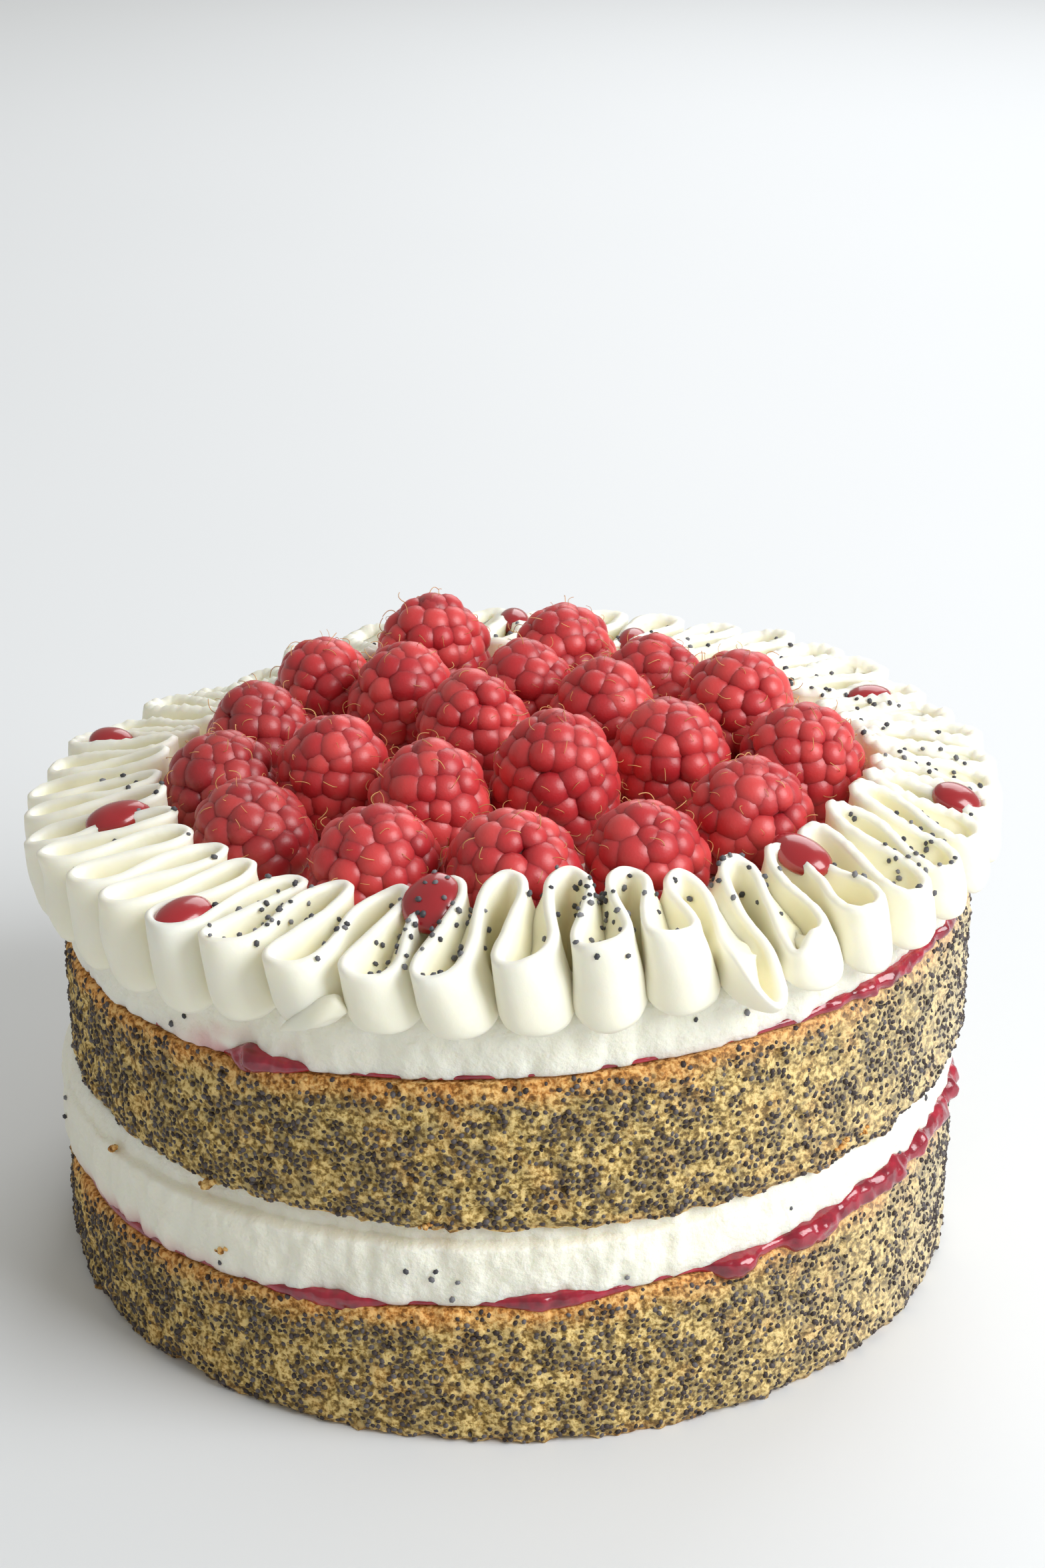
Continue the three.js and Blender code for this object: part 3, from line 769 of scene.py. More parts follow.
def jam_skin(name, centre_x, level, beads, seed):
    """A bead of jam all the way round a joint."""
    degrees = np.linspace(-180, 180, JAM_STEPS, endpoint=False)
    angle = np.radians(degrees)
    reaches = [np.full(JAM_STEPS, base) for base in THIN_LINE]
    for direction, width, *amounts in beads:
        swell = hill(degrees, direction, width)
        for reach, amount in zip(reaches, amounts):
            reach += amount * swell
    joint = around(CAKE_RADIUS, angle, 0.0, centre_x)
    wobble = 1 + 0.42 * bumps(joint, 4.6 * MM, seed) + 0.22 * bumps(joint, 2.0 * MM, seed + 1)
    above, below, out = (MM * reach * np.clip(wobble, 0.3, 2) for reach in reaches)
    middle = level_at(level, joint[:, 0], joint[:, 1]) + 0.5 * JAM_THICKNESS
    around_bead = np.linspace(np.pi / 2, -np.pi / 2, BEAD_POINTS)[:, None]
    height = np.where(around_bead > 0, above + 0.4 * MM, below + 0.4 * MM) * np.sin(around_bead)
    radius = CAKE_RADIUS - 1.5 * MM + (out + 0.4 * MM) * np.cos(around_bead) ** 0.8
    points = around(radius, angle, middle + height, centre_x)
    lumps = layered_bumps(points.reshape(-1, 3), JAM_LUMPS, seed + 2).reshape(radius.shape)
    return skin(name, points + around(lumps * out * np.cos(around_bead), angle, 0.0))


lower_jam = jam_skin("lower_jam_spread", LOWER_SHIFT, LOWER_SPONGE_TOP, LOWER_BEADS, 400)
upper_jam = jam_skin("upper_jam_spread", 0.0, UPPER_SPONGE_TOP, UPPER_BEADS, 420)
print("beads of jam:", len(LOWER_BEADS), "below and", len(UPPER_BEADS), "above")

# %% [markdown]
# Jam is deep red where it is thick and bright where light gets through, and it is wet, so its
# highlights are sharp. A clear coat over a soft red body gives both at once.

# %% Jam finish
jam = Finish("raspberry jam")
jam_cloud = jam.speckle(350, 2.0)
jam_colour = jam.ramp(jam_cloud, [
    (0.3, (0.17, 0.003, 0.016)), (0.6, (0.34, 0.005, 0.026)), (0.8, (0.50, 0.020, 0.052)),
])
jam_material = jam.surface({
    "Base Color": jam_colour, "Roughness": 0.22, "Coat Weight": 0.65, "Coat Roughness": 0.06,
    "Subsurface Weight": 0.1, "Subsurface Radius": (1.0, 0.12, 0.10), "Subsurface Scale": 0.001,
    "Normal": jam.bump(jam.speckle(700, 2.0), 0.0003, 0.6),
})
finished(lower_jam, jam_material, "raspberry_jam", "lower_jam")
finished(upper_jam, jam_material, "raspberry_jam", "upper_jam")

# %% [markdown]
# ## The piped border
# The border is one ribbon of cream that folds in and out all the way round, forty-three times. Its
# plan is a wave whose loops are swollen until the walls between them run straight to the middle.
# Each loop differs a little by the same seeded rule as the solid's, so the two agree. The wall is
# thick at its foot, thin at its upper edge, and its outer loops have a belly like a tongue. Real
# cream is softer than the solid, so the edges are thicker here and the hollows partly filled.

# %% Seeded rule of the loops
PLEATS = 43
PITCH = 2 * math.pi / PLEATS
PHASE = math.radians(4.4)
LIP_TURN = math.radians(-2.4)
PEAK_TURN = math.radians(0.8)
OUTER_SWELL, INNER_SWELL = 0.21, 0.16
OUTER_FOOT, INNER_FOOT = 80.3 * MM, 65.5 * MM
OUTER_EDGE, INNER_EDGE, EDGE_SHIFT = 84.3 * MM, 62.4 * MM, 1.1 * MM
OUTER_HEIGHT, OUTER_RISE = 87.6 * MM, 1.2 * MM
INNER_HEIGHT, INNER_RISE = 91.8 * MM, 3.2 * MM
# How far a loop turns at random and swells at its foot, and the belly of an outer loop
LOOP_TURN, FOOT_SWELL, BELLY = 0.05, 0.09, 4.6 * MM
# Direction in degrees where one loop has flopped over, and how far it goes out and down
FOLDED_OVER, FLOP_REACH, FLOP_DROP = -63, 6.0 * MM, 10.5 * MM


def seeded_numbers(seed, count):
    """The solid's own random numbers from 0 to 1."""
    mask = 0xFFFFFFFF
    state = seed
    numbers = []
    for _ in range(count):
        state = (state + 0x6D2B79F5) & mask
        t = ((state ^ (state >> 15)) * (1 | state)) & mask
        t = ((t + (((t ^ (t >> 7)) * (61 | t)) & mask)) & mask) ^ t
        numbers.append((t ^ (t >> 14)) / 4294967296)
    return np.array(numbers)


outer_loops = 2 * seeded_numbers(11, 3 * PLEATS).reshape(PLEATS, 3) - 1
inner_loops = 2 * seeded_numbers(29, 3 * PLEATS).reshape(PLEATS, 3) - 1


def soft_bump(angle, centre_degrees, half_width_degrees):
    away = np.abs((angle - math.radians(centre_degrees) + np.pi) % (2 * np.pi) - np.pi)
    share = np.clip(away / math.radians(half_width_degrees), 0, 1)
    return 1 - share * share * (3 - 2 * share)


print("first outer loop's numbers:", outer_loops[0].round(3))

# %% Ribbon shape
def cream_surface(radius, angle):
    """Top of the upper cream with its rounded edge, where the border stands."""
    fall = np.maximum(0, radius - (CAKE_RADIUS - 0.6 * MM - EDGE_INSET)) * (EDGE_DROP / EDGE_INSET)
    return level_at(UPPER_CREAM_TOP, radius * np.cos(angle), radius * np.sin(angle)) - fall


def ribbon(place, level):
    """The ribbon's middle at a level from 0 at its foot to 1 at its edge.

    Gives its angle, radius and outwardness, the two loops' numbers and how far it flops over.
    """
    outward = (1 + np.cos(2 * np.pi * place)) / 2
    outer = outer_loops[np.round(place).astype(int) % PLEATS]
    inner = inner_loops[np.floor(place).astype(int) % PLEATS]
    turn = LOOP_TURN * level * (outward * outer[:, 2] + (1 - outward) * inner[:, 2])
    outer_swell, inner_swell = OUTER_SWELL + FOOT_SWELL * (1 - level), INNER_SWELL * (0.6 + 0.4 * level)
    swell = outer_swell * outward + inner_swell * (1 - outward)
    lean = level * (LIP_TURN * outward + PEAK_TURN * (1 - outward))
    angle = PITCH * (place + turn + swell * np.sin(4 * np.pi * place)) + PHASE + lean
    flop = outward * soft_bump(angle, FOLDED_OVER, 7)
    edge = OUTER_EDGE - EDGE_SHIFT * np.cos(angle)
    outer_radius = OUTER_FOOT + (edge + 0.6 * outer[:, 0] * MM - OUTER_FOOT) * level
    inner_radius = INNER_FOOT + (INNER_EDGE + 0.6 * inner[:, 0] * MM - INNER_FOOT) * level
    belly = BELLY * np.sqrt(level) * (1 - level) * outward
    radius = inner_radius + (outer_radius - inner_radius) * outward + FLOP_REACH * flop * level ** 2 + belly
    return angle, radius, outward, outer, inner, flop


# Where the upper edge stands higher or lower: direction and half width in degrees, and millimetres
OUTER_RISES = [
    (-76, 26, 6), (-172, 28, -4.5), (40, 95, -4), (100, 50, -1.5), (128, 40, -7), (160, 36, -7),
    (46, 22, 2.4), (133, 14, -2.5),
]
INNER_RISES = [(-90, 32, 3.8), (35, 75, -8), (95, 50, -4), (142, 50, -5), (-46, 13, -2.2)]
FOOT_RISES = [(-66, 20, 3), (-98, 30, 2.3), (-113, 20, 2.0), (-89, 12, 1.2)]


def risen(angle, rises):
    """Sum of the rises at an angle, in metres."""
    return MM * sum(height * soft_bump(angle, *where) for *where, height in rises)


def edge_height(place):
    """Height of the ribbon's upper edge."""
    angle, _, outward, outer, inner, flop = ribbon(place, 1.0)
    outer_height = OUTER_HEIGHT + OUTER_RISE * np.cos(angle) + MM * outer[:, 1] + risen(angle, OUTER_RISES)
    inner_height = INNER_HEIGHT + INNER_RISE * np.cos(angle) + MM * inner[:, 1] + risen(angle, INNER_RISES)
    return inner_height + (outer_height - inner_height) * outward - FLOP_DROP * flop


print("edge of the first loop:", (edge_height(np.zeros(1)) / MM).round(1), "mm high")

# %% Ribbon skin
STEPS_PER_PLEAT = 76
RIBBON_LEVELS = 14
FOOT_THICKNESS, EDGE_THICKNESS = 3.6 * MM, 1.6 * MM
SOFT_EDGE = 1.4 * MM
# The hollow inside a loop: how much cream fills it, and how deep below the edge it is full
CHANNEL_FILL = 4.6 * MM
SHALLOW_CHANNEL, DEEP_CHANNEL = 1.9 * MM, 7.0 * MM
TOOTH = 2.6 * MM
WANDER = [(10 * MM, 0.55 * MM), (5 * MM, 0.25 * MM), (1.6 * MM, 0.06 * MM)]
RIPPLE = [(3.4 * MM, 0.32 * MM)]


def softened(angle):
    """1 over the right and back of the border, where it is low and soft, 0 in front and at the left."""
    return np.maximum(soft_bump(angle, 25, 85), soft_bump(angle, 110, 75))


def ribbon_wall(place, level):
    """Both faces of the ribbon at one level: arrays of points on its inner and outer side."""
    angle, radius, outward = ribbon(place, level)[:3]
    ahead, behind = (
        around(near_radius, near_angle, 0.0)[:, :2]
        for near_angle, near_radius, *_ in (ribbon(place + step, level) for step in (0.01, -0.01))
    )
    along = ahead - behind
    along /= np.linalg.norm(along, axis=1, keepdims=True)
    across = np.stack([-along[:, 1], along[:, 0]], axis=-1)
    soft = softened(angle)
    thickness = EDGE_THICKNESS + SOFT_EDGE * soft + (FOOT_THICKNESS - EDGE_THICKNESS) * (1 - level) ** 1.4
    middle = around(radius, angle, 0.0)[:, :2]
    top = edge_height(place)
    foot_rise = risen(angle, FOOT_RISES) * outward
    below_edge = (1 - level) * (top - cream_surface(radius, angle))
    shallow = np.maximum(soft, 0.7 * soft_bump(angle, FOLDED_OVER, 12))
    channel = DEEP_CHANNEL + (SHALLOW_CHANNEL - DEEP_CHANNEL) * shallow
    full = np.clip((below_edge - 0.5 * MM) / channel, 0, 1) ** 1.3
    filled = full * CHANNEL_FILL * (0.35 + 0.65 * outward)
    walls = []
    for side, fill in ((0.5, filled), (-0.5, 0 * filled)):
        flat = middle + across * (thickness * side + fill)[:, None]
        foot = cream_surface(np.hypot(flat[:, 0], flat[:, 1]) - 2.6 * MM, angle) + foot_rise
        walls.append(np.column_stack([flat, foot + (top - foot) * level]))
    return walls


def ribbon_skin():
    place = (np.arange(PLEATS * STEPS_PER_PLEAT) + 0.5) / STEPS_PER_PLEAT
    levels = np.linspace(0, 1, RIBBON_LEVELS)
    inside, outside = map(list, zip(*(ribbon_wall(place, level) for level in levels)))
    crest = (inside[-1] + outside[-1]) / 2
    crest[:, 2] += 0.5 * MM
    # The nozzle left small teeth along the edge on the right half
    angle, _, outward = ribbon(place, 1.0)[:3]
    toothed = np.maximum(soft_bump(angle, 10, 95), soft_bump(angle, 130, 60))
    along = np.cumsum(np.linalg.norm(np.diff(crest, axis=0, append=crest[:1]), axis=1))
    ragged = bumps(np.column_stack([along, 0 * along, 0 * along]), 1.1 * MM, 510)
    teeth = MM * toothed * (0.55 * np.abs(np.sin(np.pi * along / TOOTH)) + 0.35 * ragged)
    for ring in (inside[-1], outside[-1]):
        ring[:, 2] += 0.7 * teeth - 0.05 * MM
    crest[:, 2] += teeth
    points = np.array(inside + [crest] + outside[::-1])
    flat = points.reshape(-1, 3)
    for axis, seed in enumerate((500, 503, 506)):
        wander, ripple = (
            layered_bumps(flat, sizes, first).reshape(points.shape[:2])
            for sizes, first in ((WANDER, seed), (RIPPLE, seed + 40))
        )
        points[..., axis] += wander + softened(angle) * ripple
    faces = ring_faces(*points.shape[:2], closed=True)
    piece = make_object("piped_border_ribbon", points.reshape(-1, 3).tolist(), faces.tolist())
    # Painted shade and bounced light: cream is painted yellow inside the loops and in the creases
    # between them, where light bounces about
    outward = outward[None, :]
    hollow = (1 - levels[:, None]) ** 0.6
    channel = hollow * (0.55 + 0.45 * outward)
    crease = hollow[::-1] * (0.16 + 0.6 * (1 - outward))
    paint(piece, "deep", np.concatenate([channel, 0 * outward, crease]).reshape(-1))
    return piece


border = ribbon_skin()
paint_evenly(border, stain=0.0)
finished(border, piped_cream, "piped_cream", "piped_border")

# %% [markdown]
# ## Seeds on the border
# Poppy seeds were thrown over the border by hand. They lie in loose clusters on the upper edges and
# inside the folds, with a few strays. A painted cover value says how likely a seed is at each
# point, and the same scattering tree as for the sponge places them.

# %% Clusters of seeds
# Direction and width in degrees, distance from the centre and its width, and strength
SEED_CLUSTERS = [
    (-165, 9, 68, 9, 1.0), (-120, 9, 74, 11, 0.8), (-104, 9, 76, 14, 1.0), (-80, 5, 70, 12, 1.0),
    (-57, 5, 63, 7, 0.8), (31, 9, 66, 8, 0.9), (-6, 6, 71, 6, 0.6), (-31, 9, 78, 10, 0.7),
    (80, 30, 68, 10, 0.35), (140, 22, 70, 10, 0.4),
]
places = read_points(border)
degrees = direction_of(places)
distance = np.hypot(places[:, 0], places[:, 1]) / MM
likely = np.full(len(places), 0.02)
for direction, width, centre, spread_mm, strength in SEED_CLUSTERS:
    likely += strength * hill(degrees, direction, width) * np.exp(-((distance - centre) / spread_mm) ** 2)
upward = np.clip(read_points(border, "normal")[:, 2] + 0.25, 0.03, 1)
high_up = np.clip((places[:, 2] - 83 * MM) / (6 * MM), 0, 1)
patchy = 0.3 + 0.7 * (bumps(places, 4 * MM, 77) > 0)
paint(border, "cover", np.clip(likely * upward * high_up * patchy, 0, 1))
sow("border_seeds", border, loose_seed_material, "piped_cream",
    gap=0.0009, seed=3, sunk_by=-0.0002, most_per_area=4.6e5)

# %% [markdown]
# ## Coulis drops
# Nine drops of thin raspberry coulis sit in the folds, bulging over the edges that hold them. Each
# one is a rounded bead stretched along its fold and sunk a little into the cream.

# %% Drops
# Number of the fold, with a half for one between two loops, distance from the centre, length and
# width, the degrees by which the drop slopes down outwards, and how deep its middle sits
COULIS_DROPS = [
    (19, 78, 9, 7, 0, 0.8), (-20, 71, 11.5, 8, 12, 0.8), (-16, 80, 10.5, 8, 6, 0.8),
    (-12.65, 66.5, 12, 9.5, 30, 0.6), (-6, 66, 11, 8, 14, 0.6), (-2.15, 77, 9, 8.5, 18, 0.4),
    (3, 74, 9.5, 7, 0, 1.2), (8, 69, 9, 6, 0, 0.8), (10.5, 80, 9, 6, 0, 0.8),
]
DROP_DEPTH = 5.0 * MM


def drop_points(fold, distance_mm, length, width, slope, sink, seed):
    """One drop as rings from its top to its bottom, lying in its fold."""
    share = (distance_mm * MM - INNER_EDGE) / (OUTER_EDGE - INNER_EDGE)
    angle = fold * PITCH + PHASE + PEAK_TURN + (LIP_TURN - PEAK_TURN) * share
    wall = math.floor(fold) + math.acos(2 * share - 1) / (2 * math.pi)
    tilt = math.radians(slope)
    lift = float(edge_height(np.array([wall]))[0]) - sink * MM
    local = 0.5 * np.array([length * MM, width * MM, DROP_DEPTH]) * unit_ball(16, 32, 0.02)
    uneven = 1 + 0.10 * bumps(local.reshape(-1, 3) + seed, 5 * MM, seed).reshape(local.shape[:2])
    x, y, z = local[..., 0] * uneven, local[..., 1] * uneven, local[..., 2]
    x, z = x * math.cos(tilt) + z * math.sin(tilt), z * math.cos(tilt) - x * math.sin(tilt)
    x += distance_mm * MM
    turned = x * math.cos(angle) - y * math.sin(angle), x * math.sin(angle) + y * math.cos(angle)
    return np.stack([*turned, z + lift], axis=-1)


drops = gather("coulis_drops", [drop_points(*drop, seed + 1) for seed, drop in enumerate(COULIS_DROPS)])

coulis = Finish("raspberry coulis")
coulis_colour = coulis.mix(coulis.speckle(200), (0.28, 0.006, 0.012), (0.40, 0.014, 0.022))
coulis_material = coulis.surface({
    "Base Color": coulis_colour, "Roughness": 0.25, "Coat Weight": 0.7, "Coat Roughness": 0.12,
    "Subsurface Weight": 0.2, "Subsurface Radius": (1.0, 0.1, 0.08), "Subsurface Scale": 0.002,
})
finished(drops, coulis_material, "raspberry_jam")

# %% [markdown]
# A few seeds stuck to the drops while they were wet, most of them on the one in front. They come
# from the same scattering tree, with a cover painted by how near each point is to that drop.

# %% Seeds on the drops
in_front = hill(direction_of(read_points(drops)), -100, 9)
on_top = np.clip(read_points(drops, "normal")[:, 2], 0, 1)
paint(drops, "cover", (0.03 + 0.5 * in_front) * on_top)
sow("drop_seeds", drops, loose_seed_material, "raspberry_jam",
    gap=0.0014, seed=8, sunk_by=-0.0001, most_per_area=3.0e5)

# %% [markdown]
# ## Strays
# Cutting and lifting left a few seeds and crumbs on the cream, and a torn wisp of cream hangs from
# one pleat. Seeds on the cream are scattered as before, dense only in the spots where they fell.
# Crumbs are small rough lumps set one by one, and the wisp is a short flat tube that runs to a point.

# %% Stray seeds on the creams
# Direction in degrees, height in millimetres and strength of each spot
STRAY_SPOTS = [
    (-98.8, 33, 0.5), (-103.4, 78, 0.3), (-125, 69, 0.3), (-115, 69, 0.3), (-62, 75, 0.3),
    (-124, 38, 0.2),
]
for cream_piece, centre_x, seed in ((lower_cream, LOWER_SHIFT, 12), (upper_cream, 0.0, 13)):
    spots = read_points(cream_piece)
    near_side = np.hypot(spots[:, 0] - centre_x, spots[:, 1]) > 0.95 * CAKE_RADIUS
    fallen = np.full(len(spots), 0.006)
    for direction, height_mm, strength in STRAY_SPOTS:
        beside = hill(direction_of(spots, centre_x), direction, 1.6)
        fallen += strength * beside * np.exp(-((spots[:, 2] / MM - height_mm) / 1.8) ** 2)
    paint(cream_piece, "cover", fallen * near_side)
    sow(cream_piece.name + "_seeds", cream_piece, loose_seed_material, "whipped_cream",
        gap=0.0015, seed=seed, sunk_by=-0.0002, most_per_area=6.0e5)

# %% Crumbs
# Direction in degrees, height and size in millimetres, and whether it is on the lower half
CRUMBS = [
    (-147.3, 34.5, 1.5, True), (-126.3, 27.4, 1.6, True), (-129.6, 38.4, 2.0, False),
    (-119.7, 63.6, 1.0, False), (-115.1, 63.4, 1.1, False), (-112.5, 63.0, 0.8, False),
    (-48.1, 44.4, 1.6, False), (-44.0, 44.8, 1.1, False), (-100.5, 40.5, 1.2, False),
    (35, 44, 1.6, False), (120, 32, 1.4, True), (80, 66, 1.3, False),
]


def lump(centre, size, seed):
    """A small rough ball as rings of points."""
    ball = unit_ball(8, 12, 0.15)
    rough = 1 + 0.45 * bumps(ball.reshape(-1, 3) + 5 * seed, 0.8, seed).reshape(ball.shape[:2])
    return centre + 0.5 * size * ball * rough[..., None] * np.array([1.0, 1.0, 0.8])


def on_side(direction, height_mm, radius_mm, lower=False):
    """A place on the side of the cake, on its lower half or its upper one."""
    return around(radius_mm * MM, math.radians(direction), height_mm * MM, LOWER_SHIFT if lower else 0.0)


crumb_shapes = []
for seed, (direction, height_mm, size_mm, lower) in enumerate(CRUMBS):
    for part, (turned_by, shift) in enumerate(((0.0, 0.0), (0.5, 0.5), (-0.5, -0.2))):
        centre = on_side(direction + turned_by * size_mm, height_mm + shift * size_mm, 79.7, lower)
        crumb_shapes.append(lump(centre, size_mm * MM * (1 - 0.25 * part), 3 * seed + part + 1))
crumbs = gather("stray_crumbs", crumb_shapes)
# The stray crumbs are browned, a little grey from buried seeds, and get no painted glare
paint_evenly(crumbs, toast=0.8, cover=0.2, pale=0.0)
finished(crumbs, crumb_material, "poppy_seed_sponge")

# %% Torn wisp of cream
# Direction in degrees, height and distance in millimetres, and thickness from its root to its tip
WISP = [
    (-108.6, 81.4, 84.0, 4.2), (-110.4, 79.8, 85.0, 4.2), (-112.0, 78.4, 85.2, 3.8),
    (-113.4, 77.0, 85.0, 3.0), (-114.7, 75.6, 84.5, 1.8), (-116.0, 74.2, 83.9, 0.5),
]
wisp_rings = []
for k, (direction, height_mm, distance_mm, thickness_mm) in enumerate(WISP):
    angle = math.radians(direction)
    out_way = np.array([math.cos(angle), math.sin(angle), 0])
    side_way = np.array([0.65 * math.sin(angle), -0.65 * math.cos(angle), 0.76])
    turn = -turns(14)[:, None]
    oval = 0.6 * np.cos(turn) * out_way + np.sin(turn) * side_way
    ragged = 1 + 0.25 * np.sin(3 * turn + 2.0 * k)
    wisp_rings.append(on_side(direction, height_mm, distance_mm) + 0.5 * thickness_mm * MM * ragged * oval)
wisp = gather("border_wisp", [np.array(wisp_rings)])
subdivided = wisp.modifiers.new("rounded", "SUBSURF")
subdivided.levels = subdivided.render_levels = 1
# The wisp gets a quarter of the painted yellow shade, the hue of the shaded cream beside it
paint_evenly(wisp, stain=0.0, deep=0.25)
finished(wisp, piped_cream, "piped_cream")

# %% [markdown]
# ## Raspberries
# A raspberry is a hollow cone of many round drupelets in staggered rows. Each berry here is
# a small dark core with a drupelet on each of its marked points; the core's dark red is painted
# shade for the gaps between the drupelets. The points are worked out row by row from the berry's
# own solid, and a geometry tree puts one drupelet on each and presses it out along its own direction.

# %% Drupelet places
DRUPELET = 4.8 * MM
DRUPELET_RADIUS = 0.69 * DRUPELET
DRUPELET_BULGE = 0.80
ROW_STEP = 0.86 * DRUPELET
FOOT_SHARE = 0.28


def berry_profile(share, width):
    """Radius of the berry's skin at a share of its height: a round dome on a slightly drawn in foot."""
    above = np.clip((share - FOOT_SHARE) / (1 - FOOT_SHARE), 0, 1)
    dome = (1 - above ** 2.4) ** 0.55
    foot = np.clip(share / FOOT_SHARE, 0, 1)
    return 0.5 * width * dome * (1 - 0.12 * (1 - foot * foot * (3 - 2 * foot)))


def drupelet_places(width, height, random):
    """Centres, directions and sizes of a berry's drupelets, tip up, about its own base."""
    shares = np.linspace(1, 0, 200)
    outline = np.column_stack([berry_profile(shares, width), shares * height])
    travelled = np.concatenate([[0], np.cumsum(np.linalg.norm(np.diff(outline, axis=0), axis=1))])
    centres, directions, sizes = [], [], []
    rows = int(travelled[-1] / ROW_STEP)
    offset = random.random() * 2 * np.pi
    lean = random.uniform(-1, 1, 2) * 1.1 * MM
    swollen = random.uniform(0, 2 * np.pi)
    for row in range(rows + 1):
        where = min((row + 0.45) * ROW_STEP, travelled[-1])
        (radius, radius_next), (height_here, height_next) = (
            np.interp([where, where + 0.6 * MM], travelled, outline[:, axis]) for axis in (0, 1))
        slope = math.atan2(radius_next - radius, max(height_here - height_next, 1e-6))
        count = max(3, int(round(2 * np.pi * radius / DRUPELET)))
        offset += np.pi / count + random.normal(0, 0.1)
        for k in range(count):
            turn = offset + 2 * np.pi * (k + random.normal(0, 0.10)) / count
            direction = around(np.cos(slope), turn, np.sin(slope))
            size = DRUPELET_RADIUS * (random.uniform(0.84, 1.12) + 0.16 * (random.random() < 0.12))
            slip = random.normal(0, 0.11) * DRUPELET
            oval = 1 + 0.04 * math.cos(2 * (turn - swollen))
            surface = around(radius * oval + 0.15 * MM * random.normal(), turn, height_here)
            surface[:2] += lean * (height_here / height) ** 2
            surface += slip * around(-np.sin(slope), turn, np.cos(slope))
            centres.append(surface - direction * size * DRUPELET_BULGE * random.uniform(0.82, 1.0))
            directions.append(direction)
            sizes.append(size)
    return np.array(centres), np.array(directions), np.array(sizes)


sample = drupelet_places(20 * MM, 20 * MM, np.random.default_rng(1))
print("drupelets on a berry of 20 mm:", len(sample[0]))

# %% Berry finishes
# Colours of the darkest and the brightest drupelet, first as painted shade in the clefts and then
# as painted light on the tops
SHADED_CLEFT_REDS = [(0.26, 0.005, 0.012), (0.42, 0.010, 0.018)]
LIT_TOP_REDS = [(0.50, 0.022, 0.032), (0.72, 0.075, 0.075)]


def flesh_finish(name, shade):
    """Red flesh, with painted shade between the drupelets and painted light on their tops. shade darkens it
    all.
    """
    flesh = Finish(name)
    tone = flesh.read("tone")
    deep, bright = (
        flesh.mix(tone, *[tuple(shade * v for v in colour) for colour in pair])
        for pair in (SHADED_CLEFT_REDS, LIT_TOP_REDS)
    )
    # Painted light and shade: each drupelet is lit towards its top and shaded towards its base
    lit = flesh.ramp(flesh.read("rise"), [(0.55, (0, 0, 0)), (0.97, (1, 1, 1))])
    return flesh.surface({
        "Base Color": flesh.mix(lit, deep, bright), "Roughness": 0.40,
        "Sheen Weight": 0.16, "Sheen Roughness": 0.35, "Sheen Tint": (1.0, 0.62, 0.62, 1),
        "Subsurface Weight": 0.3, "Subsurface Radius": (1.0, 0.15, 0.12), "Subsurface Scale": 0.0025,
        "Coat Weight": 0.12, "Coat Roughness": 0.25,
        "Normal": flesh.bump(flesh.speckle(2500, 2.0), 0.00005, 0.7),
    })


flesh_material = flesh_finish("raspberry flesh", 1.0)
ripe_material = flesh_finish("ripe raspberry flesh", 0.74)
print("berry finishes:", flesh_material.name, "and", ripe_material.name)

# %% Drupelet tree
budder = Grower("drupelets on points")
segments = budder.knob("Segments", 12, "NodeSocketInt")
rings_knob = budder.knob("Rings", 8, "NodeSocketInt")
tone_seed = budder.knob("Seed", 1, "NodeSocketInt")
sphere = budder.add("GeometryNodeMeshUVSphere", {"Segments": segments, "Rings": rings_knob, "Radius": 1.0})
sphere_height = budder.add("ShaderNodeSeparateXYZ", {0: budder.add("GeometryNodeInputPosition")}, output=2)
marked = budder.store(sphere, "rise", 0.5 + 0.5 * sphere_height)
tall = budder.add("GeometryNodeTransform", {"Geometry": marked, "Scale": (1.0, 1.0, DRUPELET_BULGE)})
marks = budder.named("bud", "BOOLEAN")
budded = budder.copies(budder.geometry(), tall, budder.standing(), budder.named("size"), marks)
toned_buds = budder.store(budded, "tone", budder.random(0.0, 1.0, tone_seed), "INSTANCE")
# The core keeps no rise value, so it takes the darkest cleft red: painted shade in the gaps
bare_core = budder.add(
    "GeometryNodeDeleteGeometry", {"Geometry": budder.geometry(), "Selection": marks}, domain="POINT")
joined = budder.node_tree.nodes.new("GeometryNodeJoinGeometry")
for part in (bare_core, toned_buds):
    budder.node_tree.links.new(part.socket, joined.inputs[0])
budder.finish(Wire(budder, joined.outputs[0]), flesh_material)
print("inputs of the drupelet tree:", budder.defaults)

# %% Berries
BERRY_COUNT = 21
RIPE_BERRIES = (1, 5, 12)
WIDER_THAN_SOLID = 1.04
CORE_RINGS, CORE_STEPS = 12, 16


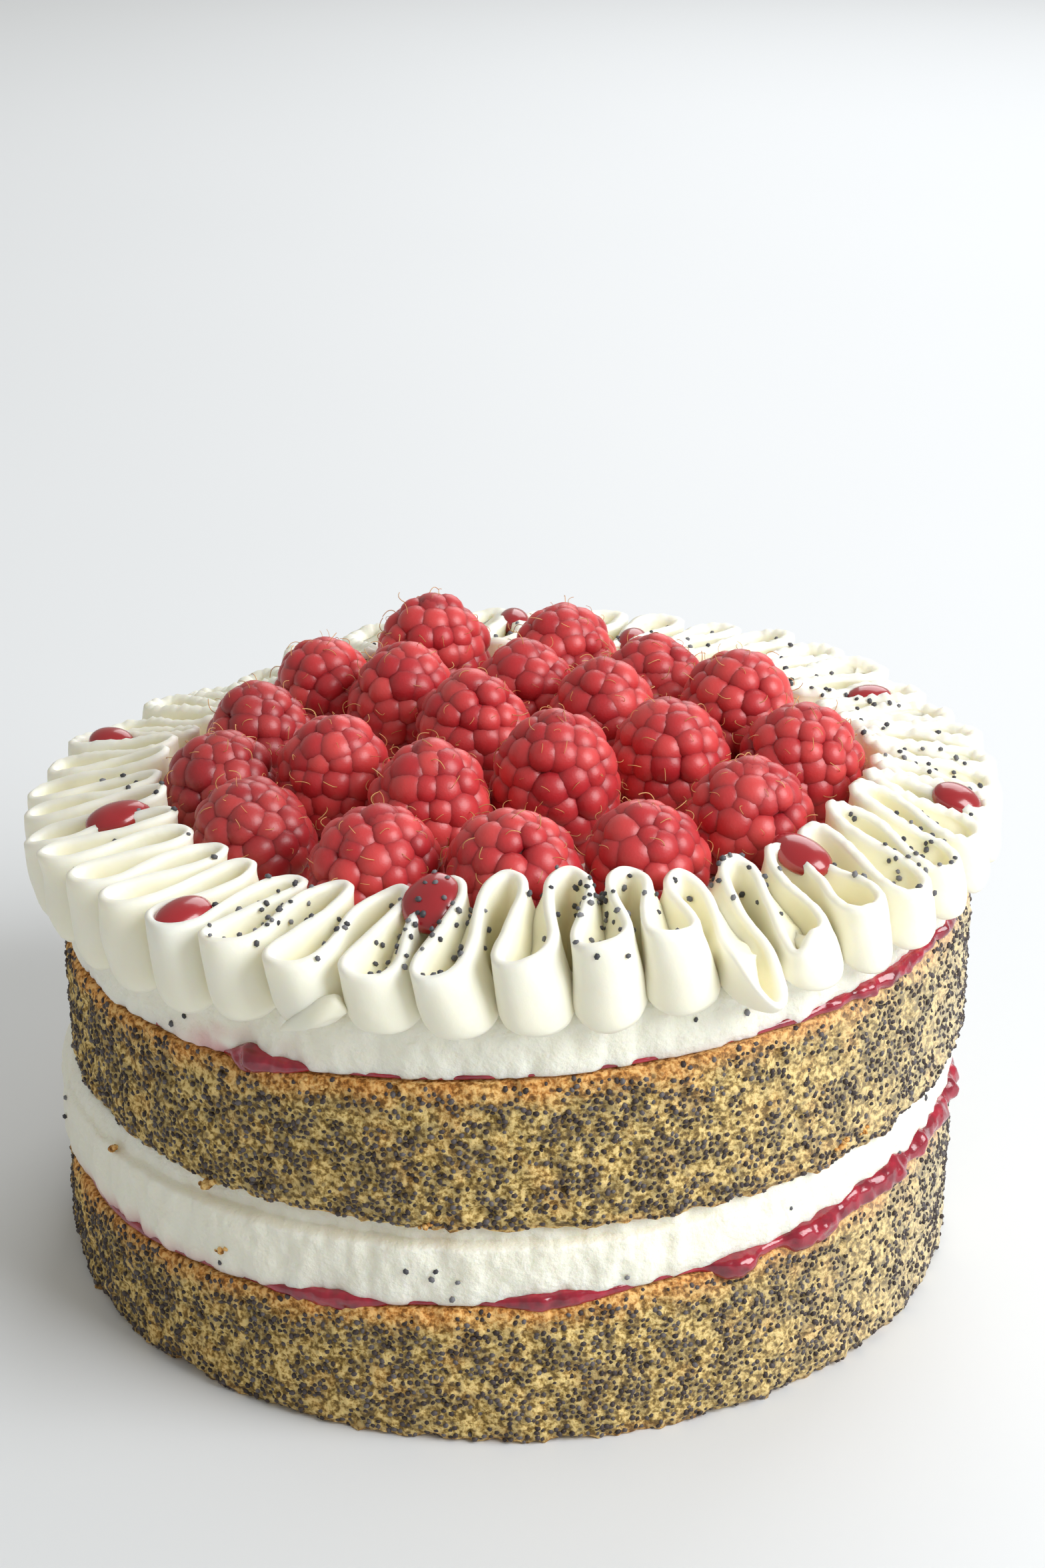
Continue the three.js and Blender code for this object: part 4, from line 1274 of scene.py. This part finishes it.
def berry_source(node, index):
    """A berry's core and marked points, in place, and the places of its hairs."""
    low, high = (np.array(corner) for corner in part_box(node))
    middle = (low + high) / 2
    width = WIDER_THAN_SOLID * float(min(high[0] - low[0], high[1] - low[1]))
    height = float(high[2] - low[2])
    random = np.random.default_rng(600 + index)
    centres, directions, sizes = drupelet_places(width, height, random)
    share = np.linspace(0.97, 0.02, CORE_RINGS)[:, None]
    core_radius = np.maximum(berry_profile(share, width) - 0.30 * DRUPELET, 0.2 * MM)
    core_points = around(core_radius, turns(CORE_STEPS), share * (height - 2 * MM)).reshape(-1, 3)
    ends = np.array([[0, 0, height - 2.2 * MM], [0, 0, 0.1 * MM]])
    base = np.array([middle[0], middle[1], low[2]])
    vertices = np.vstack([core_points, ends, centres]) + base
    faces = ring_faces(CORE_RINGS, CORE_STEPS).tolist()
    top, last = len(core_points), (CORE_RINGS - 1) * CORE_STEPS
    for step in range(CORE_STEPS):
        beside = (step + 1) % CORE_STEPS
        faces += [[top, step, beside], [top + 1, last + beside, last + step]]
    source = make_object("berry_source_%02d" % index, vertices.tolist(), faces)
    plain = len(core_points) + len(ends)
    paint(source, "bud", np.arange(len(vertices)) >= plain, "BOOLEAN")
    paint(source, "outward", np.vstack([np.zeros((plain, 3)), directions]), "FLOAT_VECTOR")
    paint(source, "size", np.concatenate([np.zeros(plain), sizes]))
    return source, centres + base + directions * sizes[:, None] * 0.97 * DRUPELET_BULGE, directions


hair_roots, hair_ways = [], []
for index in range(1, BERRY_COUNT + 1):
    node = "raspberry_%02d" % index
    source, roots, ways = berry_source(node, index)
    berry = budder.grow(node + "_fruit", source, Seed=index)
    bpy.data.objects.remove(source)
    if index in RIPE_BERRIES:
        for place in range(len(berry.data.materials)):
            berry.data.materials[place] = ripe_material
    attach(berry, "root")
    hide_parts(node)
    hair_roots.append(roots)
    hair_ways.append(ways)
print("last berry triangles:", triangles(berry))

# %% [markdown]
# A dried style still stands on many drupelets: a golden brown hair two or three millimetres long,
# curled at its end. A tube along a short bent curve is enough, placed on three in four drupelets
# with a random turn and lean.

# %% Hairs
hair_finish = Finish("berry hair")
hair_colour = hair_finish.mix(hair_finish.speckle(400), (0.60, 0.27, 0.08), (0.74, 0.45, 0.18))
hair_material = hair_finish.surface({"Base Color": hair_colour, "Roughness": 0.5})

stylist = Grower("hairs on points")
hair_length = stylist.knob("Hair length", 0.0029)
hair_width = stylist.knob("Hair radius", 0.00008)
hair_share = stylist.knob("Share of points", 0.75)
hair_seed = stylist.knob("Seed", 1, "NodeSocketInt")
bend_point = stylist.add("ShaderNodeCombineXYZ", {"X": 0.1 * hair_length, "Z": 0.62 * hair_length})
end_point = stylist.add("ShaderNodeCombineXYZ", {"X": 0.85 * hair_length, "Z": 0.35 * hair_length})
strand = stylist.add("GeometryNodeCurveQuadraticBezier", {
    "Resolution": 6, "Start": (0, 0, 0), "Middle": bend_point, "End": end_point,
})
ring = stylist.add("GeometryNodeCurvePrimitiveCircle", {"Resolution": 3, "Radius": hair_width})
tube = stylist.add("GeometryNodeCurveToMesh", {"Curve": strand, "Profile Curve": ring, "Fill Caps": True})
chance = {"Probability": hair_share, "Seed": hair_seed}
picked = stylist.add("FunctionNodeRandomValue", chance, output=3, data_type="BOOLEAN")
uneven_size = stylist.random(0.55, 1.1, 21)
hairs_placed = stylist.copies(stylist.geometry(), tube, stylist.standing(), uneven_size, picked)
lean = stylist.random((-0.7, -0.7, -3.14), (0.7, 0.7, 3.14), 22, "FLOAT_VECTOR")
leaning = stylist.add("GeometryNodeRotateInstances", {"Instances": hairs_placed, "Rotation": lean})
stylist.finish(leaning, hair_material)

root_source = make_object("hair_roots", np.vstack(hair_roots).tolist(), [])
paint(root_source, "outward", np.vstack(hair_ways), "FLOAT_VECTOR")
hairs = stylist.grow("raspberry_hairs", root_source)
bpy.data.objects.remove(root_source)
finished(hairs, hair_material, "raspberry")
